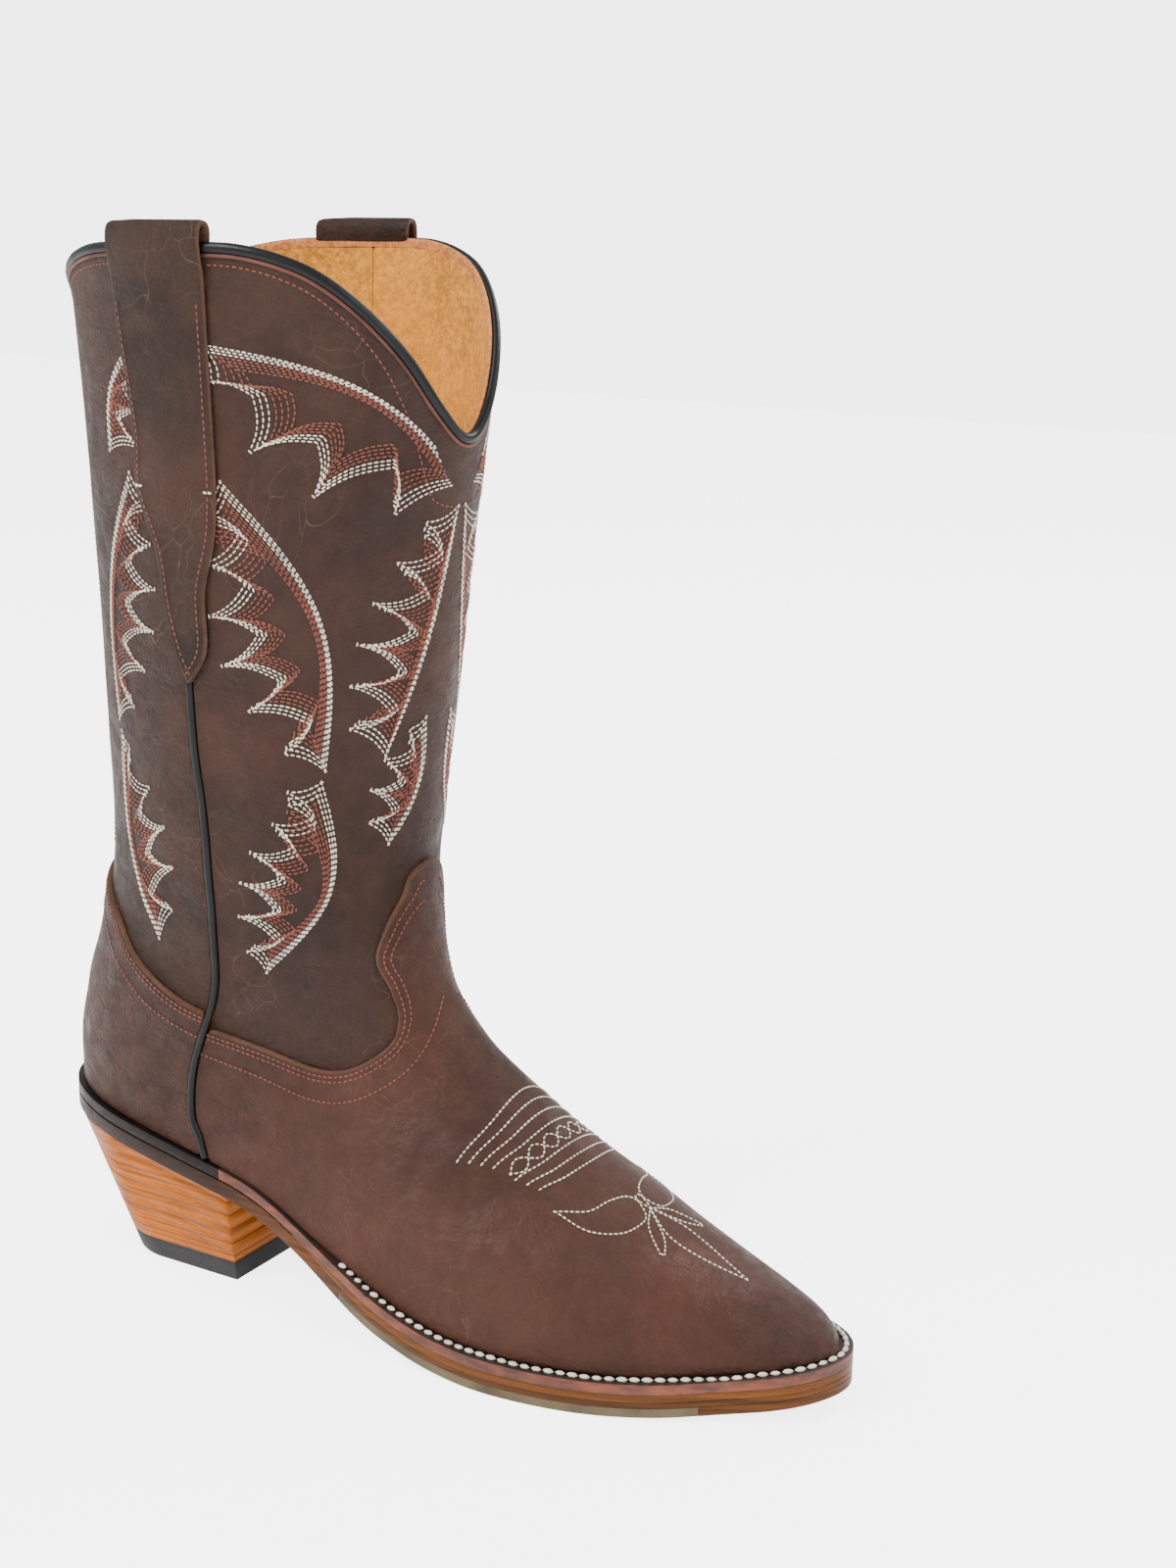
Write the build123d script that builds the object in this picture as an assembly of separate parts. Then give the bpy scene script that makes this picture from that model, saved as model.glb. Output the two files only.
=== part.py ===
"""Western riding boot for the right foot, one solid per leather, rubber, cork, wood or steel piece.

Frame, in millimetres: the heel cap's tread face lies on Z = 0 with the origin on the boot's centre
line, 26 mm behind the heel breast.  +X points to the toe, +Y to the inner (medial) side, +Z up.

The upper is built in plies.  One smooth skin is lofted through fan-shaped sections that turn from
the level rim of the shaft, round the heel, to the upright section at the toe.  Each ply lies between
two skins at different depths, and is cut to its pattern in side view.
"""
from build123d import *
import math
import os

# ---------------------------------------------------------------- driving dimensions
TOE_REACH = 235.0            # origin to the toe tip of the upper
SHAFT_TOP = 352.0            # pattern height of the shaft before its top edge is cut
BALL_WIDTH = 92.0            # widest part of the upper, across the ball
HEEL_RISE = 47.0             # height of the outsole's underside at the back of the heel
TOE_SPRING = 7.0             # height of the sole's underside at the toe tip

UPPER_LEATHER = 1.6          # vamp and counter
SHAFT_LEATHER = 1.6          # shaft panels and the pieces hidden behind the foot leather
LINING_LEATHER = 1.2
STRAP_LEATHER = 1.6
STRAP_SKIVE = 0.6            # thinned end of the strap between shaft and lining
GLUE_LINE = 0.1              # between plies
SEAM_GAP = 0.3               # between edges that butt inside the boot

WELT_THICKNESS = 3.5
MIDSOLE_THICKNESS = 2.4
MIDSOLE_SKIVE = 0.5          # thickness of the midsole where it dies out in the waist
RUBBER_THICKNESS = 3.0       # forepart insert and the leather toe piece ahead of it
INSOLE_THICKNESS = 3.0
SOCK_THICKNESS = 1.2
WELT_PROUD = 4.2             # welt beyond the upper, round the forepart
WAIST_PROUD = 1.4            # the same at the close-trimmed waist
HEEL_PROUD = 2.2             # the same round the heel seat
WELT_WIDTH = 13.0            # welt's width, mostly under the upper
THREAD_INSET = 1.5           # welt edge to the welt thread
THREAD_WIDTH = 1.5
THREAD_HEIGHT = 0.9

CAP_THICKNESS = 7.0
CAP_LENGTH = 57.0            # breast to the back of the heel cap
CAP_WIDTH = 54.0
HEEL_BREAST = 26.0           # X of the heel's front face at the cap
BREAST_RAKE = 1.5            # how far the breast leans back over the heel's height
HEEL_SEAT_LENGTH = 80.0      # breast to the back of the heel block at its top
HEEL_SEAT_WIDTH = 65.0
HEEL_LIFTS = 6
LIFT_THICKNESS = 5.2
BACK_ROUND = 0.88            # depth of the round heel back as a share of the half-width

PIPING_WIDTH = 2.8
PIPING_PROUD = 1.1           # side piping beyond the foot leather's surface
TOP_PIPING = 3.2             # depth of the rolled binding below the top edge
STRAP_LOOP = 5.0             # clear height of the pull strap's loop over the top edge
LOOP_SECTIONS = 5
FOOT_SUNK = 0.2              # how far the loop's foot lies inside the faces of the strap's leg

SHANK_LENGTH = 100.0
SHANK_WIDTH = 14.0
SHANK_THICKNESS = 1.6
SHANK_START = -18.0

NAIL_DIAMETER = 2.2
NAIL_LENGTH = 15.0
NAIL_INSET = 6.0
NAIL_COUNT = 9
NAIL_RECESS = 0.5            # nail heads sit this far inside the cap's tread
PEG_DIAMETER = 2.0
PEG_INSET = 5.0
PEG_ROW_GAP = 4.0
PEG_PITCH = 5.5
PEG_START = 33.0
PEG_END = 66.0
HOLE_CLEARANCE = 0.05        # on the radius of nail and peg holes

# ---------------------------------------------------------------- the pattern and its scaling
# The pattern is drawn for these sizes, and place() carries it to the driving dimensions.
PATTERN_REACH, PATTERN_TOP, PATTERN_BALL, PATTERN_RISE, PATTERN_SPRING = 235.0, 352.0, 92.0, 47.0, 7.0
ANKLE = 160.0                # above this height only the shaft's height changes
BALL_X = 125.0               # where the sole touches the ground

# Each section of the skin is an oval in the plane through Y and the line A-B:
# A (x, z) at the sole or back, B (x, z) on the instep or front, half-widths to the outer and inner
# side, where along A-B it is widest, its Y shift, and the fullness of its A and B ends.
SECTIONS = [
    (-47.6, 352, 111.6, 352, 56.6, 56.6, 0.47, 0.0, 1.85, 2.00),
    (-42.6, 305, 105.6, 305, 55.1, 55.1, 0.47, 0.0, 1.85, 1.95),
    (-38.6, 250, 98.6, 250, 52.6, 52.6, 0.47, 0.0, 1.85, 1.90),
    (-37.0, 200, 93.0, 200, 49.2, 49.2, 0.47, 0.0, 1.90, 1.85),
    (-36.5, 155, 88.5, 156, 45.0, 45.0, 0.46, 0.0, 1.95, 1.85),
    (-43.0, 120, 89.0, 131, 41.0, 40.5, 0.44, 0.0, 2.00, 1.90),
    (-52.0, 92, 92.5, 116, 38.5, 38.0, 0.40, 0.0, 2.00, 1.95),
    (-56.0, 66, 98.0, 107, 36.0, 35.5, 0.35, 0.0, 2.10, 1.95),
    (-51.0, 42, 105.0, 99.5, 35.0, 34.5, 0.33, 0.0, 2.20, 1.95),
    (-26.0, 29, 111.5, 93, 35.0, 34.5, 0.33, 0.0, 2.20, 1.95),
    (8.0, 22, 118.0, 87, 35.5, 35.0, 0.33, 1.0, 2.20, 1.95),
    (43.0, 12, 126.0, 80, 39.5, 37.5, 0.34, 2.0, 2.20, 1.95),
    (76.0, 2, 135.0, 72.5, 44.0, 40.0, 0.33, 3.0, 2.30, 1.95),
    (106.0, -3, 146.0, 64.5, 47.5, 43.0, 0.32, 4.0, 2.30, 1.95),
    (135.0, -4, 160.0, 55.5, 48.5, 43.5, 0.33, 5.0, 2.30, 2.00),
    (163.0, -3, 176.0, 46, 44.5, 40.0, 0.36, 5.5, 2.30, 2.05),
    (188.0, 0, 193.0, 38.5, 37.0, 33.5, 0.38, 6.0, 2.30, 2.10),
    (209.0, 4, 210.0, 32.5, 26.0, 25.5, 0.42, 6.2, 2.20, 2.10),
    (223.0, 8, 223.5, 28, 18.0, 17.5, 0.44, 6.3, 2.10, 2.10),
    (231.0, 11, 231.0, 23.5, 10.5, 10.5, 0.46, 6.4, 2.00, 2.00),
    (235.0, 14.5, 235.0, 19, 3.5, 3.5, 0.50, 6.4, 2.00, 2.00),
]
QUARTER_POINTS = 7           # points on each quarter of a section
ROW_STEPS = 3                # lofted sections for each row above
TIP_ROOM = 1.2               # a ply deeper than the toe tip's half-height over this ends one row early

# Pattern lines in side view, as (x, z).  The underside line is the sole's, at the ground contact.
UNDERSIDE = [(-62, 48.4), (-40, 46.4), (-20, 43.8), (0, 40.6), (20, 36.6), (45, 29.5), (65, 20.5), (85, 11.5),
             (105, 4.9), (125, 1.0), (145, 0.0), (165, 0.0), (185, 0.9), (210, 3.1), (245, 7.6)]
TOP_EDGE = [(-70, 318), (-46, 327), (-36, 335), (-25, 341.5), (-6, 346.5), (18, 348), (46, 348.5), (57, 347.8),
            (67, 345.6), (76.5, 341.8), (85, 335.6), (92.5, 327), (98.6, 316), (102.5, 302), (104, 291), (125, 286)]
VAMP_EDGE = [(-80, 98), (5, 96.5), (23.7, 93.3), (42.7, 89.5), (61, 85.3), (73, 86.9), (84.0, 94.8), (86.4, 103.2),
             (83.4, 113.4), (79.6, 123.2), (81.6, 133.3), (84.6, 143), (88, 154), (101, 166), (130, 186)]
COUNTER_EDGE = [(-80, 152), (-50, 144), (-36, 138), (-21, 128.8), (-6.4, 114.6), (7.6, 105.1), (23.5, 99), (60, 90)]
SHAFT_HEM = [(-80, 140), (-50, 132), (-36, 126), (-21, 117), (-6.4, 103.5), (7.6, 94.5), (23.5, 88), (43, 79.5),
             (61, 75), (76, 76), (92, 85), (108, 98), (135, 112)]
SIDE_SEAM = [(22, 36), (18.2, 52.3), (14.6, 60), (14.4, 70.4), (17, 82.3), (23.3, 97.9), (26.8, 108.6),
             (28.4, 120.2), (30.1, 146.4), (30.6, 171.5), (29.4, 193.5), (29.5, 230), (29, 300), (29, 365)]
STRAP_BACK = [(6.7, 330), (8.6, 318), (12.9, 292), (12.9, 274), (20.2, 255.5), (22.6, 237.3), (26, 223.6),
              (30.5, 213.7)]
STRAP_FRONT = [(30.5, 213.7), (37.4, 224.9), (38.2, 243.4), (42.8, 260), (44.4, 275.6), (44.3, 299), (43.8, 330)]
STRAP_SIDES = (6.7, 43.8)    # X of the strap's edges at the loop
STRAP_FOLD_START = 326.0     # height from which the strap is shaped as a loop
STRAP_TUCK = 14.0            # how far its inner end reaches below the top edge
PUFF_BACK = 172.0            # X of the back edge of the toe puff
LINING_JOIN = 158.0          # height where the shaft linings meet the foot linings
SOCK_FRONT = 62.0            # X of the front edge of the heel sock
MIDSOLE_BACK = 58.0
RUBBER_BACK, RUBBER_FRONT = 80.0, 205.0
WELT_BACK = 26.0             # where the welt meets the heel rand
SIDE = 200.0                 # reach of every cutting prism, well past the boot
WALK_STEPS = 16              # steps between sections when the feather line is followed
RIM_SPACING = 7.5            # between the points of the sole's plan outline


def cosine_ramp(value, start, end):
    """0 before start, 1 after end, smooth between them."""
    share = min(1.0, max(0.0, (value - start) / (end - start)))
    return 0.5 - 0.5 * math.cos(math.pi * share)


def place(x, z):
    """Carry a side-view pattern point to the driving dimensions."""
    seat = 1 - cosine_ramp(x - 0.9 * (z - 45) if z > 45 else x, 20, 120)
    lifted = z + (HEEL_RISE - PATTERN_RISE) * seat
    lifted += (TOE_SPRING - PATTERN_SPRING) * cosine_ramp(x, 170, 235)
    if z > ANKLE:
        lifted += (z - ANKLE) * (SHAFT_TOP - PATTERN_TOP) / (PATTERN_TOP - ANKLE)
    return x * TOE_REACH / PATTERN_REACH, lifted


def place_line(points):
    return [place(x, z) for x, z in points]


def across(y):
    return y * BALL_WIDTH / PATTERN_BALL


def hermite(values, u):
    """Smooth value between equally numbered rows."""
    i = min(int(u), len(values) - 2)
    t = u - i
    v0, v1 = values[i], values[i + 1]
    before = v0 - values[i - 1] if i > 0 else v1 - v0
    after = values[i + 2] - v1 if i + 2 < len(values) else v1 - v0
    m0 = (before + v1 - v0) / 2
    m1 = (after + v1 - v0) / 2
    return ((2 * t**3 - 3 * t**2 + 1) * v0 + (t**3 - 2 * t**2 + t) * m0
            + (3 * t**2 - 2 * t**3) * v1 + (t**3 - t**2) * m1)


# ---------------------------------------------------------------- the skin
def section_points(row, quarter=QUARTER_POINTS):
    """Closed loop of points, from A round the outer side to B and back on the inner side."""
    ax, az, bx, bz, outer, inner, widest, shift, full_a, full_b = row
    ax, az = place(ax, az)
    bx, bz = place(bx, bz)
    half = []
    for k in range(2 * quarter + 1):
        if k < quarter:
            angle = math.pi / 2 * k / quarter
            along = widest - widest * math.cos(angle)
            wide = math.sin(angle) ** (2 / full_a)
        else:
            angle = math.pi / 2 * (k - quarter) / quarter
            along = widest + (1 - widest) * math.sin(angle)
            wide = max(0.0, math.cos(angle)) ** (2 / full_b)
        half.append((ax + along * (bx - ax), wide, az + along * (bz - az)))
    outer_side = [Vector(x, across(shift - outer * w), z) for x, w, z in half]
    inner_side = [Vector(x, across(shift + inner * w), z) for x, w, z in half]
    return outer_side + inner_side[-2:0:-1]


def row_at(u):
    return [hermite([row[c] for row in SECTIONS], u) for c in range(len(SECTIONS[0]))]


GRID = [section_points(row_at(k / ROW_STEPS)) for k in range(ROW_STEPS * (len(SECTIONS) - 1) + 1)]
LOOP = len(GRID[0])


def outward(i, j):
    """Unit normal of the skin at grid point j of section i."""
    round_loop = GRID[i][(j + 1) % LOOP] - GRID[i][j - 1]
    along_boot = GRID[min(i + 1, len(GRID) - 1)][j] - GRID[max(i - 1, 0)][j]
    return along_boot.cross(round_loop).normalized()


def half_and_half(points):
    """Closed wire of an outer and an inner half that meet square to the boot's middle plane."""
    half = LOOP // 2
    even = [k / half for k in range(half + 1)]
    edges = []
    for side, run in ((-1, points[:half + 1]), (1, points[half:] + points[:1])):
        leaving = Vector(0, side * (run[1] - run[0]).length * half, 0)
        arriving = Vector(0, -side * (run[-1] - run[-2]).length * half, 0)
        edges.append(Edge.make_spline(run, [leaving, arriving], parameters=even, scale=False))
    return Wire(edges)


def skin(depth):
    """Solid bounded by the skin at this depth under the outer surface (negative is outside)."""
    rows = []
    last = len(GRID) - 1
    if (GRID[last][LOOP // 2] - GRID[last][0]).length / 2 < TIP_ROOM * depth:
        last -= ROW_STEPS
    for i in range(last + 1):
        points = [GRID[i][j] - outward(i, j) * depth for j in range(LOOP)]
        if i == 0:
            points = [Vector(p.X, p.Y, GRID[0][0].Z + abs(depth)) for p in points]
        if i == last:
            tip = sum(p.X for p in points) / LOOP
            points = [Vector(tip, p.Y, p.Z) for p in points]
        rows.append(half_and_half(points))
    return Solid.make_loft(rows)


# ---------------------------------------------------------------- cutting prisms
def spline_edge(points):
    return Edge.make_spline([Vector(*p) for p in points])


def side_prism(line, corners):
    """Prism along Y of the side-view area between a smooth line and straight runs through corners."""
    curve = spline_edge([(x, -SIDE, z) for x, z in line])
    runs = [line[-1]] + list(corners) + [line[0]]
    straight = [Edge.make_line(Vector(a[0], -SIDE, a[1]), Vector(b[0], -SIDE, b[1])) for a, b in zip(runs, runs[1:])]
    return Solid.extrude(Face(Wire([curve] + straight)), Vector(0, 2 * SIDE, 0))


def ply(top, bottom):
    """Prism along Y between two side-view lines that run the same way."""
    upper = spline_edge([(x, -SIDE, z) for x, z in top])
    lower = spline_edge([(x, -SIDE, z) for x, z in bottom])
    ends = [Edge.make_line(upper.position_at(1), lower.position_at(1)),
            Edge.make_line(lower.position_at(0), upper.position_at(0))]
    return Solid.extrude(Face(Wire([upper, ends[0], lower, ends[1]])), Vector(0, 2 * SIDE, 0))


def shifted(line, dx=0.0, dz=0.0):
    return [(x + dx, z + dz) for x, z in line]


def reaching(line, height):
    """Corners that run from a line's front end out, to this height, and back in at its rear end."""
    front, rear = 2 * SIDE, -SIDE
    return [(front, line[-1][1]), (front, height), (rear, height), (rear, line[0][1])]


def below(line):
    return side_prism(line, reaching(line, -SIDE))


def above(line):
    return side_prism(line, reaching(line, 4 * SIDE))


def slab_x(start, end):
    """Everything between two X values."""
    return Pos((start + end) / 2, 0, 200) * Box(end - start, 2 * SIDE, 800)


def slab_z(low, high):
    """Everything between two heights."""
    return Pos(0, 0, (low + high) / 2) * Box(8 * SIDE, 4 * SIDE, high - low)


def beside_seam(line, forward):
    far = 2 * SIDE if forward else -SIDE
    return side_prism(line, [(far, line[-1][1]), (far, -SIDE), (line[0][0], -SIDE)])


def only(shape):
    """The one solid of a cut, or an error that says how many came out."""
    found = [s for s in shape.solids() if s.volume > 1.0]
    if len(found) != 1:
        raise ValueError(f"expected one solid, got {len(found)}: {[round(s.volume) for s in found]}")
    return found[0]


def by_side(shape):
    """The outer (negative Y) and the inner solid of a piece that comes in pairs."""
    found = sorted((s for s in shape.solids() if s.volume > 1.0), key=lambda s: s.center().Y)
    if len(found) != 2:
        raise ValueError(f"expected a pair, got {len(found)}")
    return found


def put(name, shape):
    PIECES[name] = shape


PIECES = {}
underside = place_line(UNDERSIDE)
top_edge = place_line(TOP_EDGE)
seam = place_line(SIDE_SEAM)
XS = [x for x, z in underside]


def seat_lift(x):
    """Height of the feather line above the underside: the whole sole package at this x."""
    return WELT_THICKNESS + GLUE_LINE + middle(x) + GLUE_LINE + outsole_thickness(x)


def middle(x):
    """Midsole thickness, skived to nothing in the waist."""
    rise = cosine_ramp(x, place(MIDSOLE_BACK, 0)[0], place(MIDSOLE_BACK + 28, 0)[0])
    return MIDSOLE_SKIVE + (MIDSOLE_THICKNESS - MIDSOLE_SKIVE) * rise


def outsole_thickness(x):
    return 5.0


def sole_level(thickness):
    """Side-view line at a height, a function of x, over the underside."""
    return [(x, z + thickness(x)) for x, z in underside]


feather = sole_level(seat_lift)
seat = [(x, z + GLUE_LINE) for x, z in feather]
welt_bottom = sole_level(lambda x: seat_lift(x) - WELT_THICKNESS)
midsole_top = sole_level(lambda x: seat_lift(x) - WELT_THICKNESS - GLUE_LINE)
midsole_bottom = sole_level(lambda x: outsole_thickness(x) + GLUE_LINE)
outsole_top = sole_level(outsole_thickness)


def height_on(line, x):
    """Straight-line height of a side-view line at x."""
    for (x0, z0), (x1, z1) in zip(line, line[1:]):
        if x <= x1:
            return z0 + (z1 - z0) * (x - x0) / (x1 - x0)
    return line[-1][1]


# ---------------------------------------------------------------- plan outlines
def feather_walk(side):
    """Where the skin meets the feather line, from the heel's back to the toe, on one side."""
    found = []
    for k in range(WALK_STEPS * (len(SECTIONS) - 1) + 1):
        loop = section_points(row_at(k / WALK_STEPS), 40)
        half = loop[:81] if side < 0 else [loop[0]] + loop[:79:-1]
        gap = [p.Z - height_on(feather, p.X) for p in half]
        if gap[0] > 0:
            continue
        for a, b, ga, gb in zip(half, half[1:], gap, gap[1:]):
            if ga <= 0 < gb:
                p = a + (b - a) * (-ga / (gb - ga))
                found.append((p.X, p.Y))
                break
    return found


def proud(x):
    """Sole edge beyond the upper, along the boot."""
    to_waist = cosine_ramp(x, -20, HEEL_BREAST + 10)
    to_forepart = cosine_ramp(x, 55, 100)
    return HEEL_PROUD + (WAIST_PROUD - HEEL_PROUD) * to_waist + (WELT_PROUD - WAIST_PROUD) * to_forepart


def thin_out(points, spacing):
    kept = [points[0]]
    for p in points[1:]:
        if math.dist(p, kept[-1]) >= spacing:
            kept.append(p)
    return kept


rim = thin_out(feather_walk(1)[::-1] + feather_walk(-1), RIM_SPACING)
if math.dist(rim[0], rim[-1]) < RIM_SPACING:
    rim.pop()


def outline(spread):
    """Plan outline of the upper at the feather line, moved out by spread(x)."""
    moved = []
    for k, (x, y) in enumerate(rim):
        x0, y0 = rim[k - 1]
        x1, y1 = rim[(k + 1) % len(rim)]
        length = math.dist((x0, y0), (x1, y1))
        nx, ny = (y1 - y0) / length, -(x1 - x0) / length
        if nx * (x - 90) / 3 + ny * y < 0:
            nx, ny = -nx, -ny
        moved.append((x + nx * spread(x), y + ny * spread(x)))
    return moved


def plan_prism(spread):
    wire = Wire([Edge.make_spline([Vector(x, y, -20) for x, y in outline(spread)], periodic=True)])
    return Solid.extrude(Face(wire), Vector(0, 0, 120))


def spread_by(inset):
    return lambda x: proud(x) - inset


# ---------------------------------------------------------------- upper
def layer(outer_depth, inner_depth):
    """The upper's shell between two depths, trimmed at the top edge and the feather line."""
    window = below(top_edge) & above(seat)
    return only((skin(outer_depth) & window) - skin(inner_depth))


def half_width(x, z):
    """Half-width of the outer skin on the shaft at a side-view point."""
    low, high = 0.0, 4.0
    for _ in range(40):
        u = (low + high) / 2
        if place(0, row_at(u)[1])[1] > z:
            low = u
        else:
            high = u
    ax, az, bx, bz, outer, inner, widest, shift, full_a, full_b = row_at(u)
    along = (x - place(ax, az)[0]) / (place(bx, bz)[0] - place(ax, az)[0])
    if along < widest:
        return across(outer) * math.sin(math.acos(1 - along / widest)) ** (2 / full_a)
    return across(outer) * math.cos(math.asin((along - widest) / (1 - widest))) ** (2 / full_b)


def strap_loop(side, over_piping, tuck):
    """Loop of a pull strap: a strip bent over the top edge, lofted through sections along X."""
    back, front = (place(x, 0)[0] for x in STRAP_SIDES)
    start = place(0, STRAP_FOLD_START)[1]
    leather = STRAP_LEATHER
    centre = -(tuck + over_piping) / 2
    crest = STRAP_LOOP
    inside = [(-leather, -12), (-over_piping, -4), (0.3 - over_piping, 1), (centre, crest), (-tuck - 0.8, 1.2),
              (-tuck, -2)]
    outside = [(0, -12), (leather - over_piping, -4), (leather - over_piping + 0.3, 1.5), (centre, crest + leather),
               (-tuck - 0.8 - 0.85 * leather, 1.2), (-tuck - STRAP_SKIVE, -2)]
    up, down = Vector(0, 0, 1), Vector(0, 0, -1)
    wires = []
    for k in range(LOOP_SECTIONS):
        x = back + (front - back) * k / (LOOP_SECTIONS - 1)
        edge = height_on(top_edge, x)

        def at(out, z):
            return Vector(x, side * (half_width(x, min(z, edge)) + out), z)

        arches = [[at(out, edge + rise) for out, rise in line] for line in (inside, outside)]
        feet = [at(-FOOT_SUNK, start), at(FOOT_SUNK - leather, start)]
        tails = [at(-tuck, edge - STRAP_TUCK), at(-tuck - STRAP_SKIVE, edge - STRAP_TUCK)]
        wires.append(Wire([
            Edge.make_line(feet[1], arches[0][0]), Edge.make_spline(arches[0], [up, down]),
            Edge.make_line(arches[0][-1], tails[0]), Edge.make_line(tails[0], tails[1]),
            Edge.make_line(tails[1], arches[1][-1]), Edge.make_spline(arches[1][::-1], [up, down]),
            Edge.make_line(arches[1][0], feet[0]), Edge.make_line(feet[0], feet[1])]))
    return Solid.make_loft(wires)


def strap_leg(leather):
    """Both legs on the outside of the shaft, cut to the strap's pattern."""
    back = spline_edge([(x, -SIDE, z) for x, z in place_line(STRAP_BACK)])
    front = spline_edge([(x, -SIDE, z) for x, z in place_line(STRAP_FRONT)])
    top = Edge.make_line(front.position_at(1), back.position_at(0))
    return by_side(leather & Solid.extrude(Face(Wire([back, front, top])), Vector(0, 2 * SIDE, 0)))


def make_upper():
    leather = layer(0, UPPER_LEATHER)
    shaft_outer = UPPER_LEATHER + GLUE_LINE
    shaft_inner = shaft_outer + SHAFT_LEATHER
    lining_outer = shaft_inner + GLUE_LINE
    lining_inner = lining_outer + LINING_LEATHER
    half = PIPING_WIDTH / 2
    ahead = beside_seam(shifted(seam, half + GLUE_LINE), True)
    behind = beside_seam(shifted(seam, -half - GLUE_LINE), False)
    put("vamp", only(leather & ahead & below(place_line(VAMP_EDGE))))
    put("counter", only(leather & behind & below(place_line(COUNTER_EDGE))))

    straps = {}
    piping_face = shaft_outer - PIPING_PROUD
    for name, side, leg in zip(("pull_strap_outer", "pull_strap_inner"), (-1, 1), strap_leg(leather)):
        straps[name] = only(leg + strap_loop(side, piping_face - GLUE_LINE, lining_outer - GLUE_LINE / 2))
        put(name, straps[name])

    hem = place_line(SHAFT_HEM)
    bound = below(shifted(top_edge, dz=-TOP_PIPING - GLUE_LINE))
    shell = layer(shaft_outer, shaft_inner)
    shaft = shell & above(hem) & bound
    put("shaft_front", only(shaft & ahead))
    put("shaft_back", only(shaft & behind))
    foot = shell & below(shifted(hem, dz=-SEAM_GAP))
    puff_back = place(PUFF_BACK, 0)[0]
    put("toe_puff", only(foot & slab_x(puff_back, 2 * SIDE)))
    put("vamp_backing", only(foot & ahead & slab_x(-SIDE, puff_back - SEAM_GAP)))
    put("heel_stiffener", only(foot & behind))

    lining = layer(lining_outer, lining_inner)
    join = place(0, LINING_JOIN)[1]
    in_front = beside_seam(shifted(seam, SEAM_GAP / 2), True)
    in_back = beside_seam(shifted(seam, -SEAM_GAP / 2), False)
    shaft_lining = lining & slab_z(join, 4 * SIDE) & bound
    for strap in straps.values():
        shaft_lining -= strap
    foot_lining = lining & slab_z(-SIDE, join - SEAM_GAP)
    put("shaft_lining_front", only(shaft_lining & in_front))
    put("shaft_lining_back", only(shaft_lining & in_back))
    put("vamp_lining", only(foot_lining & in_front))
    put("counter_lining", only(foot_lining & in_back))

    strip = beside_seam(shifted(seam, half), False) & beside_seam(shifted(seam, -half), True)
    tip = place(*STRAP_BACK[-1])[1] - SEAM_GAP
    bead = (skin(-PIPING_PROUD) & strip & above(seat) & slab_z(-SIDE, tip)) - skin(shaft_inner)
    flat = (skin(shaft_outer) & strip & slab_z(tip, 4 * SIDE) & bound) - skin(shaft_inner)
    for name, low, high in zip(("side_piping_outer", "side_piping_inner"), by_side(bead), by_side(flat)):
        put(name, only(low + high))
    roll = skin(piping_face) & below(top_edge) & above(shifted(top_edge, dz=-TOP_PIPING))
    put("top_piping", only(roll - skin(shaft_inner)))


# ---------------------------------------------------------------- sole and heel
def level_line(line, rise):
    return [(x, z + rise) for x, z in line]


def ring(top, bottom, outer_inset, inner_inset):
    """Ply between two levels and between two insets from the sole's edge."""
    return (ply(top, bottom) & plan_prism(spread_by(outer_inset))) - plan_prism(spread_by(inner_inset))


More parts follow.
